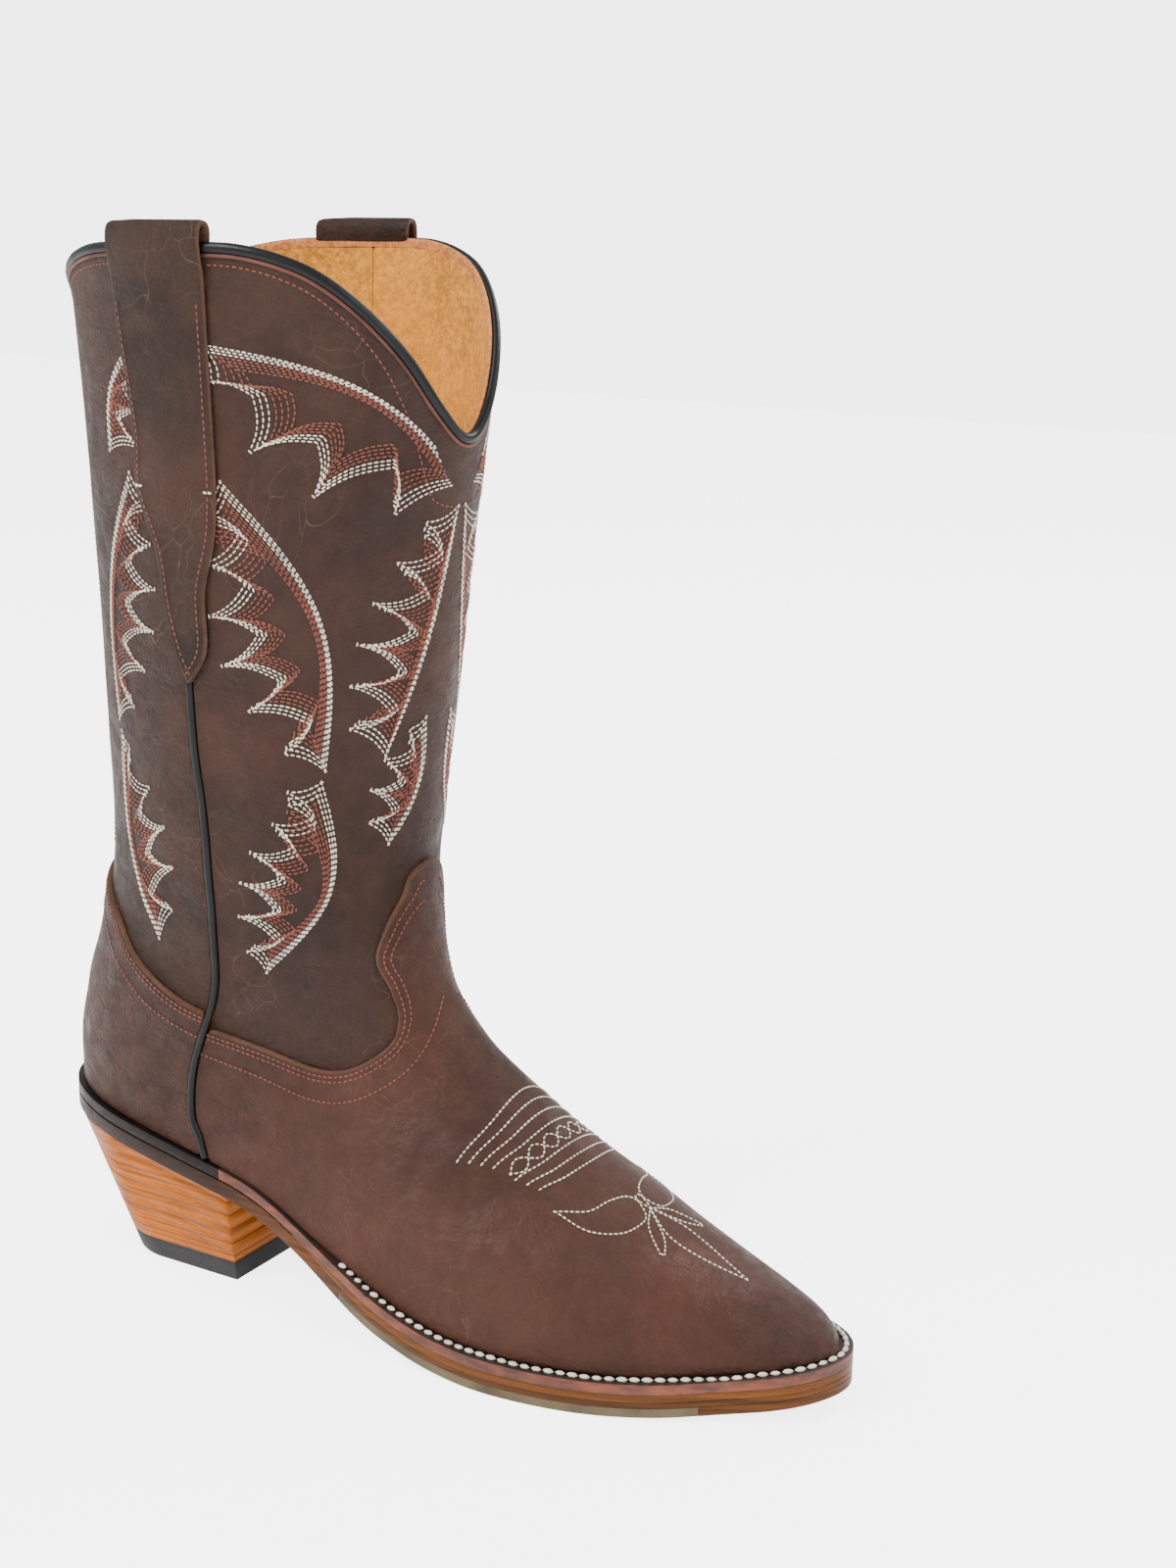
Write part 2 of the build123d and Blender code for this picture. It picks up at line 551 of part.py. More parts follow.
def make_sole():
    foot_space = skin(UPPER_LEATHER + SHAFT_LEATHER + LINING_LEATHER + 4 * GLUE_LINE)
    board = level_line(feather, INSOLE_THICKNESS)
    put("insole", only(foot_space & ply(board, seat)))
    sock_front = place(SOCK_FRONT, 0)[0]
    sock = ply(level_line(board, GLUE_LINE + SOCK_THICKNESS), level_line(board, GLUE_LINE))
    put("heel_sock", only(foot_space & sock & slab_x(-SIDE, sock_front)))

    split = place(WELT_BACK, 0)[0]
    frame = ring(feather, welt_bottom, 0, WELT_WIDTH)
    pegs, peg_holes = make_pegs()
    put("heel_rand", only(frame & slab_x(-SIDE, split - GLUE_LINE)))
    put("welt", only((frame & slab_x(split, 2 * SIDE)) - peg_holes))
    thread = ring(level_line(seat, THREAD_HEIGHT), seat, THREAD_INSET, THREAD_INSET + THREAD_WIDTH)
    put("welt_thread", only(thread & slab_x(place(RUBBER_BACK, 0)[0], 2 * SIDE)))

    filler = ply(feather, welt_bottom) & plan_prism(spread_by(WELT_WIDTH + GLUE_LINE))
    shank_zone = slab_x(SHANK_START, SHANK_START + SHANK_LENGTH) & (Pos(0, 0, 0) * Box(4 * SIDE, SHANK_WIDTH, SIDE))
    shank = ply(level_line(welt_bottom, SHANK_THICKNESS), welt_bottom) & shank_zone
    put("shank", only(shank))
    channel = ply(level_line(welt_bottom, SHANK_THICKNESS + GLUE_LINE), level_line(welt_bottom, -1)) & shank_zone
    put("cork_filler", only(filler - channel))

    edge = plan_prism(proud)
    midsole_back = place(MIDSOLE_BACK, 0)[0]
    midsole = ply(midsole_top, midsole_bottom) & edge & slab_x(midsole_back, 2 * SIDE)
    put("midsole", only(midsole - peg_holes))
    rubber_back, rubber_front = (place(x, 0)[0] for x in (RUBBER_BACK, RUBBER_FRONT))
    insert_top = level_line(underside, RUBBER_THICKNESS)
    pocket = slab_x(rubber_back - GLUE_LINE, 2 * SIDE) & below(level_line(insert_top, GLUE_LINE))
    leather_sole = ply(outsole_top, underside) & edge
    put("outsole", only(leather_sole - pocket - peg_holes))
    tread = ply(insert_top, underside) & edge
    put("forepart_rubber", only(tread & slab_x(rubber_back, rubber_front)))
    put("toe_piece", only(tread & slab_x(rubber_front + GLUE_LINE, 2 * SIDE)))
    put("waist_pegs", pegs)


def peg_places():
    """Two staggered rows of pegs along each edge of the waist."""
    places = []
    wall = outline(spread_by(PEG_INSET))
    for side in (-1, 1):
        edge = sorted(p for p in wall if p[1] * side > 0)
        for row in range(2):
            x = place(PEG_START + row * PEG_PITCH / 2, 0)[0]
            while x <= place(PEG_END, 0)[0]:
                places.append((x, height_on(edge, x) - side * row * PEG_ROW_GAP))
                x += PEG_PITCH
    return places


def make_pegs():
    """Wooden pegs through outsole, midsole and welt, and the holes they fill."""
    pegs, holes = [], []
    for x, y in peg_places():
        low = height_on(underside, x)
        length = height_on(feather, x) - low - 1.0
        centre = Pos(x, y, low + 0.5 + length / 2)
        pegs.append((centre * Cylinder(PEG_DIAMETER / 2, length)).solid())
        holes.append((centre * Cylinder(PEG_DIAMETER / 2 + HOLE_CLEARANCE, length + 4)).solid())
    return Compound(children=pegs), Compound(children=holes)


def d_wire(z, back, width, breast):
    """Heel outline at a height: straight across the breast and round behind."""
    half = width / 2
    centre = back + BACK_ROUND * half
    plane = Plane((centre, 0, z))
    arc = Edge.make_ellipse(BACK_ROUND * half, half, plane, 90, 270)
    start, end = arc.position_at(0), arc.position_at(1)
    corners = [Vector(breast, end.Y, z), Vector(breast, start.Y, z)]
    runs = [end] + corners + [start]
    return Wire([arc] + [Edge.make_line(a, b) for a, b in zip(runs, runs[1:])])


def make_heel():
    top = HEEL_RISE
    slope = (HEEL_SEAT_LENGTH - CAP_LENGTH) / top
    heights = [0, top + 20]
    wires = []
    for z in heights:
        share = z / top
        breast = HEEL_BREAST - BREAST_RAKE * share
        back = HEEL_BREAST - CAP_LENGTH - slope * z
        wires.append(d_wire(z, back, CAP_WIDTH + (HEEL_SEAT_WIDTH - CAP_WIDTH) * share, breast))
    block = Solid.make_loft(wires, True)
    nails, holes = make_nails()
    cap = block & slab_z(0, CAP_THICKNESS)
    put("heel_cap", only(cap - holes))
    stack = block & slab_z(CAP_THICKNESS + GLUE_LINE, SIDE)
    for k in range(HEEL_LIFTS):
        upper = below(level_line(underside, -k * LIFT_THICKNESS - GLUE_LINE))
        lift = stack & upper
        if k < HEEL_LIFTS - 1:
            lift &= above(level_line(underside, -(k + 1) * LIFT_THICKNESS))
        put(f"heel_lift_{k + 1}", only(lift - holes))
    put("heel_nails", nails)


def make_nails():
    """Nails driven up through the cap in a horseshoe, and their holes."""
    nails, holes = [], []
    half = CAP_WIDTH / 2 - NAIL_INSET
    centre = HEEL_BREAST - CAP_LENGTH + CAP_WIDTH / 2 * BACK_ROUND
    front = HEEL_BREAST - NAIL_INSET
    for k in range(NAIL_COUNT):
        share = 2 * k / (NAIL_COUNT - 1) - 1
        if abs(share) > 0.5:
            x = centre + (front - centre) * (abs(share) - 0.5) * 2
            y = math.copysign(half, share)
        else:
            x = centre - (CAP_WIDTH / 2 * BACK_ROUND - NAIL_INSET) * math.cos(share * math.pi)
            y = half * math.sin(share * math.pi)
        shift = Pos(x, y, NAIL_RECESS + NAIL_LENGTH / 2)
        nails.append((shift * Cylinder(NAIL_DIAMETER / 2, NAIL_LENGTH)).solid())
        holes.append((Pos(x, y, (NAIL_RECESS + NAIL_LENGTH) / 2)
                      * Cylinder(NAIL_DIAMETER / 2 + HOLE_CLEARANCE, NAIL_RECESS + NAIL_LENGTH)).solid())
    return Compound(children=nails), Compound(children=holes)


def write_steps():
    os.makedirs("parts", exist_ok=True)
    for name, shape in PIECES.items():
        shape.label = name
        export_step(shape, f"parts/{name}.step")


make_upper()
make_sole()
make_heel()
write_steps()
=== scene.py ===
"""Western riding boot: leather, stitching, piping, straps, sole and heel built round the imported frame."""
import math
import random
import bmesh
import bpy
import numpy as np
from mathutils import Matrix, Vector
from mathutils.bvhtree import BVHTree


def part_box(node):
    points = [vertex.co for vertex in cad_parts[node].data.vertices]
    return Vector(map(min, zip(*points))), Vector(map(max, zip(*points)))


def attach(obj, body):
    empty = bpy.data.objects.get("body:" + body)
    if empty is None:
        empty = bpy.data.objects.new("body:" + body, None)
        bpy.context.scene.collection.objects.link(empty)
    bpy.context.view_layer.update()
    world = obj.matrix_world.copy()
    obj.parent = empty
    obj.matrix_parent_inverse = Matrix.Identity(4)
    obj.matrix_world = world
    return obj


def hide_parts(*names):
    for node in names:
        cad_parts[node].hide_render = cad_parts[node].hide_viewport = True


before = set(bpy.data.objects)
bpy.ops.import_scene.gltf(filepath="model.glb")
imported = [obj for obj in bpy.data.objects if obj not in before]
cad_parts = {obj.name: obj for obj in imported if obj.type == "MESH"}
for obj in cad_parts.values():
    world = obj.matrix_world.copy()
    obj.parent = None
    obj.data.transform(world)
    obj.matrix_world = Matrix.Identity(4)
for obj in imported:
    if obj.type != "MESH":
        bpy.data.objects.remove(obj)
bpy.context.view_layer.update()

bl_info = {
    "name": "Western Boot",
    "version": (1, 0, 0),
    "blender": (4, 5, 0),
    "location": "3D View > Sidebar > Western Boot",
    "description": "Builds a stitched western boot round its packed frame",
    "category": "Object",
}

MM = 0.001

# ---------------------------------------------------------------- the boot's pattern, in millimetres
# Sections of the outer skin: A (x, z) at the sole or back, B (x, z) on the instep or front, half-widths
# to the outer and inner side, where it is widest, its Y shift, and the fullness of its A and B ends.
ROWS = np.array([
    (-47.6, 352, 111.6, 352, 56.6, 56.6, 0.47, 0.0, 1.85, 2.00),
    (-42.6, 305, 105.6, 305, 55.1, 55.1, 0.47, 0.0, 1.85, 1.95),
    (-38.6, 250, 98.6, 250, 52.6, 52.6, 0.47, 0.0, 1.85, 1.90),
    (-37.0, 200, 93.0, 200, 49.2, 49.2, 0.47, 0.0, 1.90, 1.85),
    (-36.5, 155, 88.5, 156, 45.0, 45.0, 0.46, 0.0, 1.95, 1.85),
    (-43.0, 120, 89.0, 131, 41.0, 40.5, 0.44, 0.0, 2.00, 1.90),
    (-52.0, 92, 92.5, 116, 38.5, 38.0, 0.40, 0.0, 2.00, 1.95),
    (-56.0, 66, 98.0, 107, 36.0, 35.5, 0.35, 0.0, 2.10, 1.95),
    (-51.0, 42, 105.0, 99.5, 35.0, 34.5, 0.33, 0.0, 2.20, 1.95),
    (-26.0, 29, 111.5, 93, 35.0, 34.5, 0.33, 0.0, 2.20, 1.95),
    (8.0, 22, 118.0, 87, 35.5, 35.0, 0.33, 1.0, 2.20, 1.95),
    (43.0, 12, 126.0, 80, 39.5, 37.5, 0.34, 2.0, 2.20, 1.95),
    (76.0, 2, 135.0, 72.5, 44.0, 40.0, 0.33, 3.0, 2.30, 1.95),
    (106.0, -3, 146.0, 64.5, 47.5, 43.0, 0.32, 4.0, 2.30, 1.95),
    (135.0, -4, 160.0, 55.5, 48.5, 43.5, 0.33, 5.0, 2.30, 2.00),
    (163.0, -3, 176.0, 46, 44.5, 40.0, 0.36, 5.5, 2.30, 2.05),
    (188.0, 0, 193.0, 38.5, 37.0, 33.5, 0.38, 6.0, 2.30, 2.10),
    (209.0, 4, 210.0, 32.5, 26.0, 25.5, 0.42, 6.2, 2.20, 2.10),
    (223.0, 8, 223.5, 28, 18.0, 17.5, 0.44, 6.3, 2.10, 2.10),
    (231.0, 11, 231.0, 23.5, 10.5, 10.5, 0.46, 6.4, 2.00, 2.00),
    (235.0, 14.5, 235.0, 19, 3.5, 3.5, 0.50, 6.4, 2.00, 2.00),
])
LAST = len(ROWS) - 1
# Side-view lines of (x, z): the outsole's underside, and the edges of the leathers on the outer skin.
UNDERSIDE = [(-62, 48.4), (-40, 46.4), (-20, 43.8), (0, 40.6), (20, 36.6), (45, 29.5), (65, 20.5),
             (85, 11.5), (105, 4.9), (125, 1.0), (145, 0.0), (165, 0.0), (185, 0.9), (210, 3.1), (245, 7.6)]
TOP_EDGE = [(-70, 318), (-46, 327), (-36, 335), (-25, 341.5), (-6, 346.5), (18, 348), (46, 348.5),
            (57, 347.8), (67, 345.6), (76.5, 341.8), (85, 335.6), (92.5, 327), (98.6, 316), (102.5, 302),
            (104, 291.5), (105, 275)]
VAMP_EDGE = [(-80, 98), (5, 96.5), (23.7, 93.3), (42.7, 89.5), (61, 85.3), (73, 86.9), (84.0, 94.8),
             (86.4, 103.2), (83.4, 113.4), (79.6, 123.2), (81.6, 133.3), (84.6, 143), (88, 154), (101, 166),
             (130, 186)]
COUNTER_EDGE = [(-80, 152), (-50, 144), (-36, 138), (-21, 128.8), (-6.4, 114.6), (7.6, 105.1), (23.5, 99),
                (60, 90)]
SHAFT_HEM = [(-80, 140), (-50, 132), (-36, 126), (-21, 117), (-6.4, 103.5), (7.6, 94.5), (23.5, 88),
             (43, 79.5), (61, 75), (76, 76), (92, 85), (108, 98), (135, 112)]
SIDE_SEAM = [(22, 36), (18.2, 52.3), (14.6, 60), (14.4, 70.4), (17, 82.3), (23.3, 97.9), (26.8, 108.6),
             (28.4, 120.2), (30.1, 146.4), (30.6, 171.5), (29.4, 193.5), (29.5, 230), (29, 300), (29, 365)]
STRAP_BACK = [(6.7, 330), (8.6, 318), (12.9, 292), (12.9, 274), (20.2, 255.5), (22.6, 237.3), (26, 223.6),
              (30.5, 213.7)]
STRAP_FRONT = [(43.8, 330), (44.3, 299), (44.4, 275.6), (42.8, 260), (38.2, 243.4), (37.4, 224.9),
               (30.5, 213.7)]
FAR = 400.0                  # beyond the boot on every side
ANKLE = 160.0                # above this the pattern stretches with the shaft
TOP_HEIGHT = 348.5           # the highest point of TOP_EDGE
TOE_REACH = 235.0

# Thicknesses, and depths under the outer skin.
UPPER, GLUE, SHAFT, LINING = 1.6, 0.1, 1.6, 1.2
SHAFT_FACE = UPPER + GLUE
SHAFT_BACK = SHAFT_FACE + SHAFT
LINING_FACE = SHAFT_BACK + GLUE
LINING_BACK = LINING_FACE + LINING
PIPING_WIDTH = 2.8           # gap in the side seam that the piping fills
PIPING_RADIUS = 1.35
TOP_ROLL = 3.2               # depth of the top piping
LINING_JOIN = 158.0          # height where the shaft linings meet the foot linings
LINING_GAP = 0.3
STRAP_TIP = 213.7            # height of the straps' lower tips
STRAP_TOP = 331.0            # where a strap's leg turns into its loop
TOE_CENTRE = 5.5             # Y of the toe stitching's centre line
WELT, OUTSOLE = 3.5, 5.0
MIDSOLE, MIDSOLE_SKIVE, MIDSOLE_START, MIDSOLE_RAMP = 2.4, 0.5, 58.0, 28.0

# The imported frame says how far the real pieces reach; the pattern follows it.
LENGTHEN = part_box("vamp")[1][0] / (TOE_REACH * MM)
HEIGHTEN = (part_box("shaft_front")[1][2] / MM + TOP_ROLL + GLUE - ANKLE) / (TOP_HEIGHT - ANKLE)


# ---------------------------------------------------------------- sizes and colours a user would change
def length(name, text, default, low=0.0, high=50.0):
    return bpy.props.FloatProperty(name=name, description=text, default=default * MM, min=low * MM,
                                   max=high * MM, unit="LENGTH", precision=5)


def colour(name, text, default):
    return bpy.props.FloatVectorProperty(name=name, description=text, default=default, size=3, min=0, max=1,
                                         subtype="COLOR")


class BootSizes(bpy.types.PropertyGroup):
    edge_round: length("Edge rounding", "Rounding of cut leather edges", 0.5, 0.1, 1)
    undulation: length("Undulation", "How far the leather swells and sinks", 0.45, 0, 2)
    thread: length("Thread width", "Width of the decorative thread", 0.62, 0.2, 2)
    stitch: length("Stitch pitch", "Length of one decorative stitch with its gap", 1.9, 1, 6)
    welt_stitch: length("Welt stitch pitch", "Length of one welt stitch with its gap", 3.9, 2, 8)
    floor: length("Floor size", "Side of the floor", 6000, 500, 20000)


class BootColours(bpy.types.PropertyGroup):
    shaft: colour("Shaft leather", "Oiled leather of the shaft", (0.033, 0.0138, 0.0092))
    foot: colour("Foot leather", "Oiled leather of vamp and counter", (0.052, 0.0185, 0.0108))
    strap: colour("Strap leather", "Oiled leather of the pull straps", (0.0175, 0.0076, 0.0048))
    rubbed: colour("Rubbed leather", "Where the oil has been pushed away", (0.15, 0.074, 0.042))
    piping: colour("Piping", "Rolled piping", (0.003, 0.0027, 0.003))
    lining: colour("Lining", "Suede lining", (0.60, 0.245, 0.026))
    raw_edge: colour("Raw edge", "Cut edge of the lining", (0.52, 0.19, 0.05))
    cream: colour("Cream thread", "Light decorative thread", (0.80, 0.72, 0.58))
    rust: colour("Rust thread", "Red-brown thread", (0.20, 0.036, 0.014))
    heel: colour("Heel leather", "Stacked heel leather", (0.44, 0.112, 0.003))
    sole: colour("Sole leather", "Outsole edge", (0.105, 0.031, 0.003))
    welt: colour("Welt", "Trimmed edge of the welt", (0.13, 0.026, 0.008))
    tread: colour("Tread rubber", "Forepart insert", (0.085, 0.060, 0.030))
    floor: colour("Floor", "Studio floor and backdrop", (0.93, 0.93, 0.93))


# ---------------------------------------------------------------- the skin
def rows_at(u):
    """Section values between the numbered rows, smooth from one to the next."""
    u = np.atleast_1d(np.asarray(u, float))
    i = np.clip(u.astype(int), 0, len(ROWS) - 2)
    t = (u - i)[:, None]
    v0, v1 = ROWS[i], ROWS[i + 1]
    before = np.where((i > 0)[:, None], v0 - ROWS[np.maximum(i - 1, 0)], v1 - v0)
    after = np.where((i + 2 < len(ROWS))[:, None], ROWS[np.minimum(i + 2, len(ROWS) - 1)] - v1, v1 - v0)
    m0 = (before + v1 - v0) / 2
    m1 = (after + v1 - v0) / 2
    return ((2 * t**3 - 3 * t**2 + 1) * v0 + (t**3 - 2 * t**2 + t) * m0
            + (3 * t**2 - 2 * t**3) * v1 + (t**3 - t**2) * m1)


def skin(u, s, side):
    """Points of the outer skin; s runs from 0 on the A line to 1 on the B line."""
    r = rows_at(u)
    low = s < 0.5
    angle = np.where(low, s, s - 0.5) * math.pi
    widest = r[:, 6]
    along = np.where(low, widest * (1 - np.cos(angle)), widest + (1 - widest) * np.sin(angle))
    wide = np.where(low, np.abs(np.sin(angle)) ** (2 / r[:, 8]), np.abs(np.cos(angle)) ** (2 / r[:, 9]))
    half = np.where(side < 0, r[:, 4], r[:, 5])
    return np.stack([r[:, 0] + along * (r[:, 2] - r[:, 0]), r[:, 7] + side * half * wide,
                     r[:, 1] + along * (r[:, 3] - r[:, 1])], axis=1)


def unit(v):
    return v / np.maximum(np.linalg.norm(v, axis=-1, keepdims=True), 1e-9)


def lengths_along(path):
    """Distance along a path at each of its points."""
    return np.concatenate([[0], np.cumsum(np.linalg.norm(np.diff(path, axis=0), axis=1))])


COLUMNS = 122                # mesh columns on each half of a section
ROW_SPACING = 1.25           # between mesh rows, on average
WALK, FINE = 801, 241        # samples down the boot and round half a section, to space rows and columns
TIP = [(0.82, 0.7), (0.5, 1.2), (0.12, 1.45)]     # (size, X beyond) of the rows that round off the toe tip


def make_chart():
    """Grid of skin points, rows down the shaft and along the foot, columns round it from the A line."""
    walk = np.linspace(0, LAST, WALK)
    path = (skin(walk, np.full(WALK, 0.5), -1) + skin(walk, np.full(WALK, 1.0), -1)
            + skin(walk, np.full(WALK, 0.25), -1)) / 3
    run = lengths_along(path)
    count = int(run[-1] / ROW_SPACING)
    us = np.interp(np.linspace(0, run[-1], count), run, walk)
    rows = []
    fine = np.linspace(0, 1, FINE)
    for u in us:
        halves = []
        for side in (-1, 1):
            ring = skin(np.full(FINE, u), fine, side)
            arc = lengths_along(ring)
            s = np.interp(np.linspace(0, arc[-1], COLUMNS + 1), arc, fine)
            halves.append(skin(np.full(COLUMNS + 1, u), s, side))
        rows.append(np.concatenate([halves[0], halves[1][-2:0:-1]]))
    last = rows[-1]
    centre = last.mean(axis=0)
    for size, beyond in TIP:
        rows.append(centre + (last - centre) * size + np.array([beyond, 0, 0]))
    grid = np.array(rows)
    down = np.gradient(grid, axis=0)
    around = np.roll(grid, -1, axis=1) - np.roll(grid, 1, axis=1)
    normal = unit(np.cross(down, around))
    if normal[5, COLUMNS // 2][1] > 0:       # on the outer side the skin faces -Y
        normal = -normal
    normal[-2:] = (1, 0, 0)
    return grid, normal


def smooth_line(points, step=1.5):
    """Points along a smooth line through the given ones."""
    p = np.array(points, float)
    ends = np.vstack([2 * p[0] - p[1], p, 2 * p[-1] - p[-2]])
    out = []
    for k in range(len(p) - 1):
        a, b, c, d = ends[k:k + 4]
        n = max(2, int(np.linalg.norm(c - b) / step))
        t = np.linspace(0, 1, n, endpoint=False)[:, None]
        out.append(0.5 * (2 * b + (c - a) * t + (2 * a - 5 * b + 4 * c - d) * t**2
                          + (3 * b - a - 3 * c + d) * t**3))
    out.append(p[-1:])
    return np.vstack(out)


def shifted(line, dx=0.0, dz=0.0):
    return [(x + dx, z + dz) for x, z in line]


def beyond(line, limit):
    """Side-view area between a line and this height."""
    line = smooth_line(line)
    return np.vstack([line, [(FAR, line[-1][1]), (FAR, limit), (-FAR, limit), (-FAR, line[0][1])]])


def below(line):
    return beyond(line, -FAR)


def above(line):
    return beyond(line, 2 * FAR)


def beside_seam(shift, forward):
    """Side-view area ahead of the side seam, moved by shift, or behind it."""
    line = smooth_line(shifted(SIDE_SEAM, shift))
    far = FAR if forward else -FAR
    return np.vstack([line, [(far, line[-1][1]), (far, -FAR), (line[0][0], -FAR)]])


def inset_in(area, x, z):
    """Distance inside a side-view area, negative outside it."""
    shape = np.shape(x)
    x, z = np.ravel(x), np.ravel(z)
    best = np.full(len(x), 1e9)
    inside = np.zeros(len(x), bool)
    for (x0, z0), (x1, z1) in zip(area, np.roll(area, -1, axis=0)):
        dx, dz = x1 - x0, z1 - z0
        span = dx * dx + dz * dz
        if span < 1e-12:
            continue
        t = np.clip(((x - x0) * dx + (z - z0) * dz) / span, 0, 1)
        best = np.minimum(best, (x - x0 - t * dx)**2 + (z - z0 - t * dz)**2)
        if z0 != z1:
            cross = ((z0 > z) != (z1 > z)) & (x < (x1 - x0) * (z - z0) / (z1 - z0) + x0)
            inside ^= cross
    best = np.sqrt(best)
    return np.where(inside, best, -best).reshape(shape)


UNDER = smooth_line(UNDERSIDE)


def under(x):
    """Height of the outsole's underside."""
    return np.interp(x, UNDER[:, 0], UNDER[:, 1])


def ramp(value, start, end):
    """Soft rise from 0 at start to 1 at end."""
    share = np.clip((value - start) / (end - start), 0, 1)
    return 0.5 - 0.5 * np.cos(math.pi * share)


def middle(x):
    """Thickness of the midsole, skived away in the waist."""
    return MIDSOLE_SKIVE + (MIDSOLE - MIDSOLE_SKIVE) * ramp(x, MIDSOLE_START, MIDSOLE_START + MIDSOLE_RAMP)


def feather(x):
    """Height of the welt's top, where the upper meets the sole."""
    return under(x) + OUTSOLE + middle(x) + WELT + 2 * GLUE


SEAT = [(x, float(feather(x)) + GLUE) for x, z in UNDERSIDE]


# ---------------------------------------------------------------- finishing touches to the leather's shape
def ripples(points, seed, wavelength, stretch=(1, 1, 1), waves=7):
    """Soft irregular swell between -1 and 1 with about this wavelength."""
    draw = random.Random(seed)
    total = np.zeros(len(points))
    for _ in range(waves):
        direction = np.array([draw.gauss(0, 1) / s for s in stretch])
        direction /= np.linalg.norm(direction) + 1e-9
        size = wavelength * draw.uniform(0.75, 1.5)
        total += np.sin(points @ direction * 2 * math.pi / size + draw.uniform(0, 6.28))
    return total / waves * 1.3


def swell(points):
    """How far the leather stands out from the pattern, the same through all its layers."""
    x, z = points[:, 0], points[:, 2]
    shaft = ramp(z, 90, 170) * (1 - ramp(z, 330, 346))
    size = bpy.context.scene.boot_sizes.undulation / MM
    soft = ripples(points, 3, 95, (1, 1, 2.2)) * 1.5 + ripples(points, 5, 34, (1, 1, 1.8)) * 0.35
    foot = ripples(points, 7, 55) * 0.35 * (1 - ramp(z, 70, 120))
    folds = np.exp(-((z - 0.35 * x - 118) / 30)**2)
    bend = np.sin((z - 0.35 * x + 5 * ripples(points, 11, 40)) / 11 * math.pi) * folds
    return size * (soft * shaft + foot * ramp(z, 20, 34) + 0.35 * bend)


def scaled(points):
    """Pattern points in metres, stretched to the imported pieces."""
    out = points.copy()
    out[:, 0] *= LENGTHEN
    high = out[:, 2] > ANKLE
    out[high, 2] = ANKLE + (out[high, 2] - ANKLE) * HEIGHTEN
    return out * MM


# ---------------------------------------------------------------- meshes
def new_object(name, vertices, faces, attributes=None, sharp=None):
    mesh = bpy.data.meshes.new(name)
    mesh.from_pydata([tuple(v) for v in vertices], [], [tuple(int(k) for k in f) for f in faces])
    mesh.validate()
    mesh.shade_smooth()
    if sharp:
        mesh.set_sharp_from_angle(angle=math.radians(sharp))
    for key, values in (attributes or {}).items():
        layer = mesh.attributes.new(key, "FLOAT", "POINT")
        layer.data.foreach_set("value", np.asarray(values, dtype=np.float32))
    thing = bpy.data.objects.new(name, mesh)
    bpy.context.scene.collection.objects.link(thing)
    return thing


def face_out(thing):
    """Turns a closed mesh's faces outwards."""
    shape = bmesh.new()
    shape.from_mesh(thing.data)
    bmesh.ops.recalc_face_normals(shape, faces=shape.faces)
    if shape.calc_volume(signed=True) < 0:
        bmesh.ops.reverse_faces(shape, faces=shape.faces)
    shape.to_mesh(thing.data)
    shape.free()


CHART = {}


def chart():
    if not CHART:
        CHART["points"], CHART["normals"] = make_chart()
    return CHART["points"], CHART["normals"]


def cut_from_skin(parts, inset_by, rows=None):
    """Part of the chart inside all side-view areas, cut along their edges."""
    points, normals = chart()
    count = points.shape[1]
    inset = np.min([inset_in(a, points[:, :, 0], points[:, :, 2]) for a in parts], axis=0) - inset_by
    if rows is not None:
        inset = np.where((np.arange(len(inset)) < rows)[:, None], inset, -1.0)
    flat, place, out = inset.ravel(), points.reshape(-1, 3), normals.reshape(-1, 3)
    i, j = np.meshgrid(np.arange(len(points) - 1), np.arange(count), indexing="ij")
    a = i * count + j
    b = a + count
    d = i * count + (j + 1) % count
    c = d + count
    quads = np.stack([a, b, c, d], axis=-1).reshape(-1, 4)
    signs = flat[quads] > 0
    whole = quads[signs.all(axis=1)]
    mixed = quads[signs.any(axis=1) & ~signs.all(axis=1)]
    extra, cuts = [], {}

    def crossing(p, q):
        key = (p, q) if p < q else (q, p)
        if key not in cuts:
            p, q = key
            t = flat[p] / (flat[p] - flat[q])
            t = min(0.97, max(0.03, t))
            cuts[key] = len(flat) + len(extra)
            extra.append((p, q, t))
        return cuts[key]

    faces = whole.tolist()
    for quad in mixed.tolist():
        ring = []
        for p, q in zip(quad, quad[1:] + quad[:1]):
            if flat[p] > 0:
                ring.append(p)
            if (flat[p] > 0) != (flat[q] > 0):
                ring.append(crossing(p, q))
        if len(ring) > 2:
            faces.append(ring)
    if extra:
        p, q, t = (np.array(v) for v in zip(*extra))
        t = t[:, None]
        place = np.vstack([place, place[p] * (1 - t) + place[q] * t])
        out = np.vstack([out, unit(out[p] * (1 - t) + out[q] * t)])
        flat = np.concatenate([flat, flat[p] * (1 - t[:, 0]) + flat[q] * t[:, 0]])
    used = np.unique(np.concatenate([np.array(f) for f in faces]))
    renumber = np.full(len(flat), -1)
    renumber[used] = np.arange(len(used))
    faces = [[int(renumber[k]) for k in f] for f in faces]
    return place[used], out[used], flat[used] + inset_by, faces


def rim_edges(faces):
    """Directed edges that only one face has."""
    seen = {}
    for face in faces:
        for p, q in zip(face, face[1:] + face[:1]):
            if (q, p) in seen:
                del seen[(q, p)]
            else:
                seen[(p, q)] = True
    return list(seen)


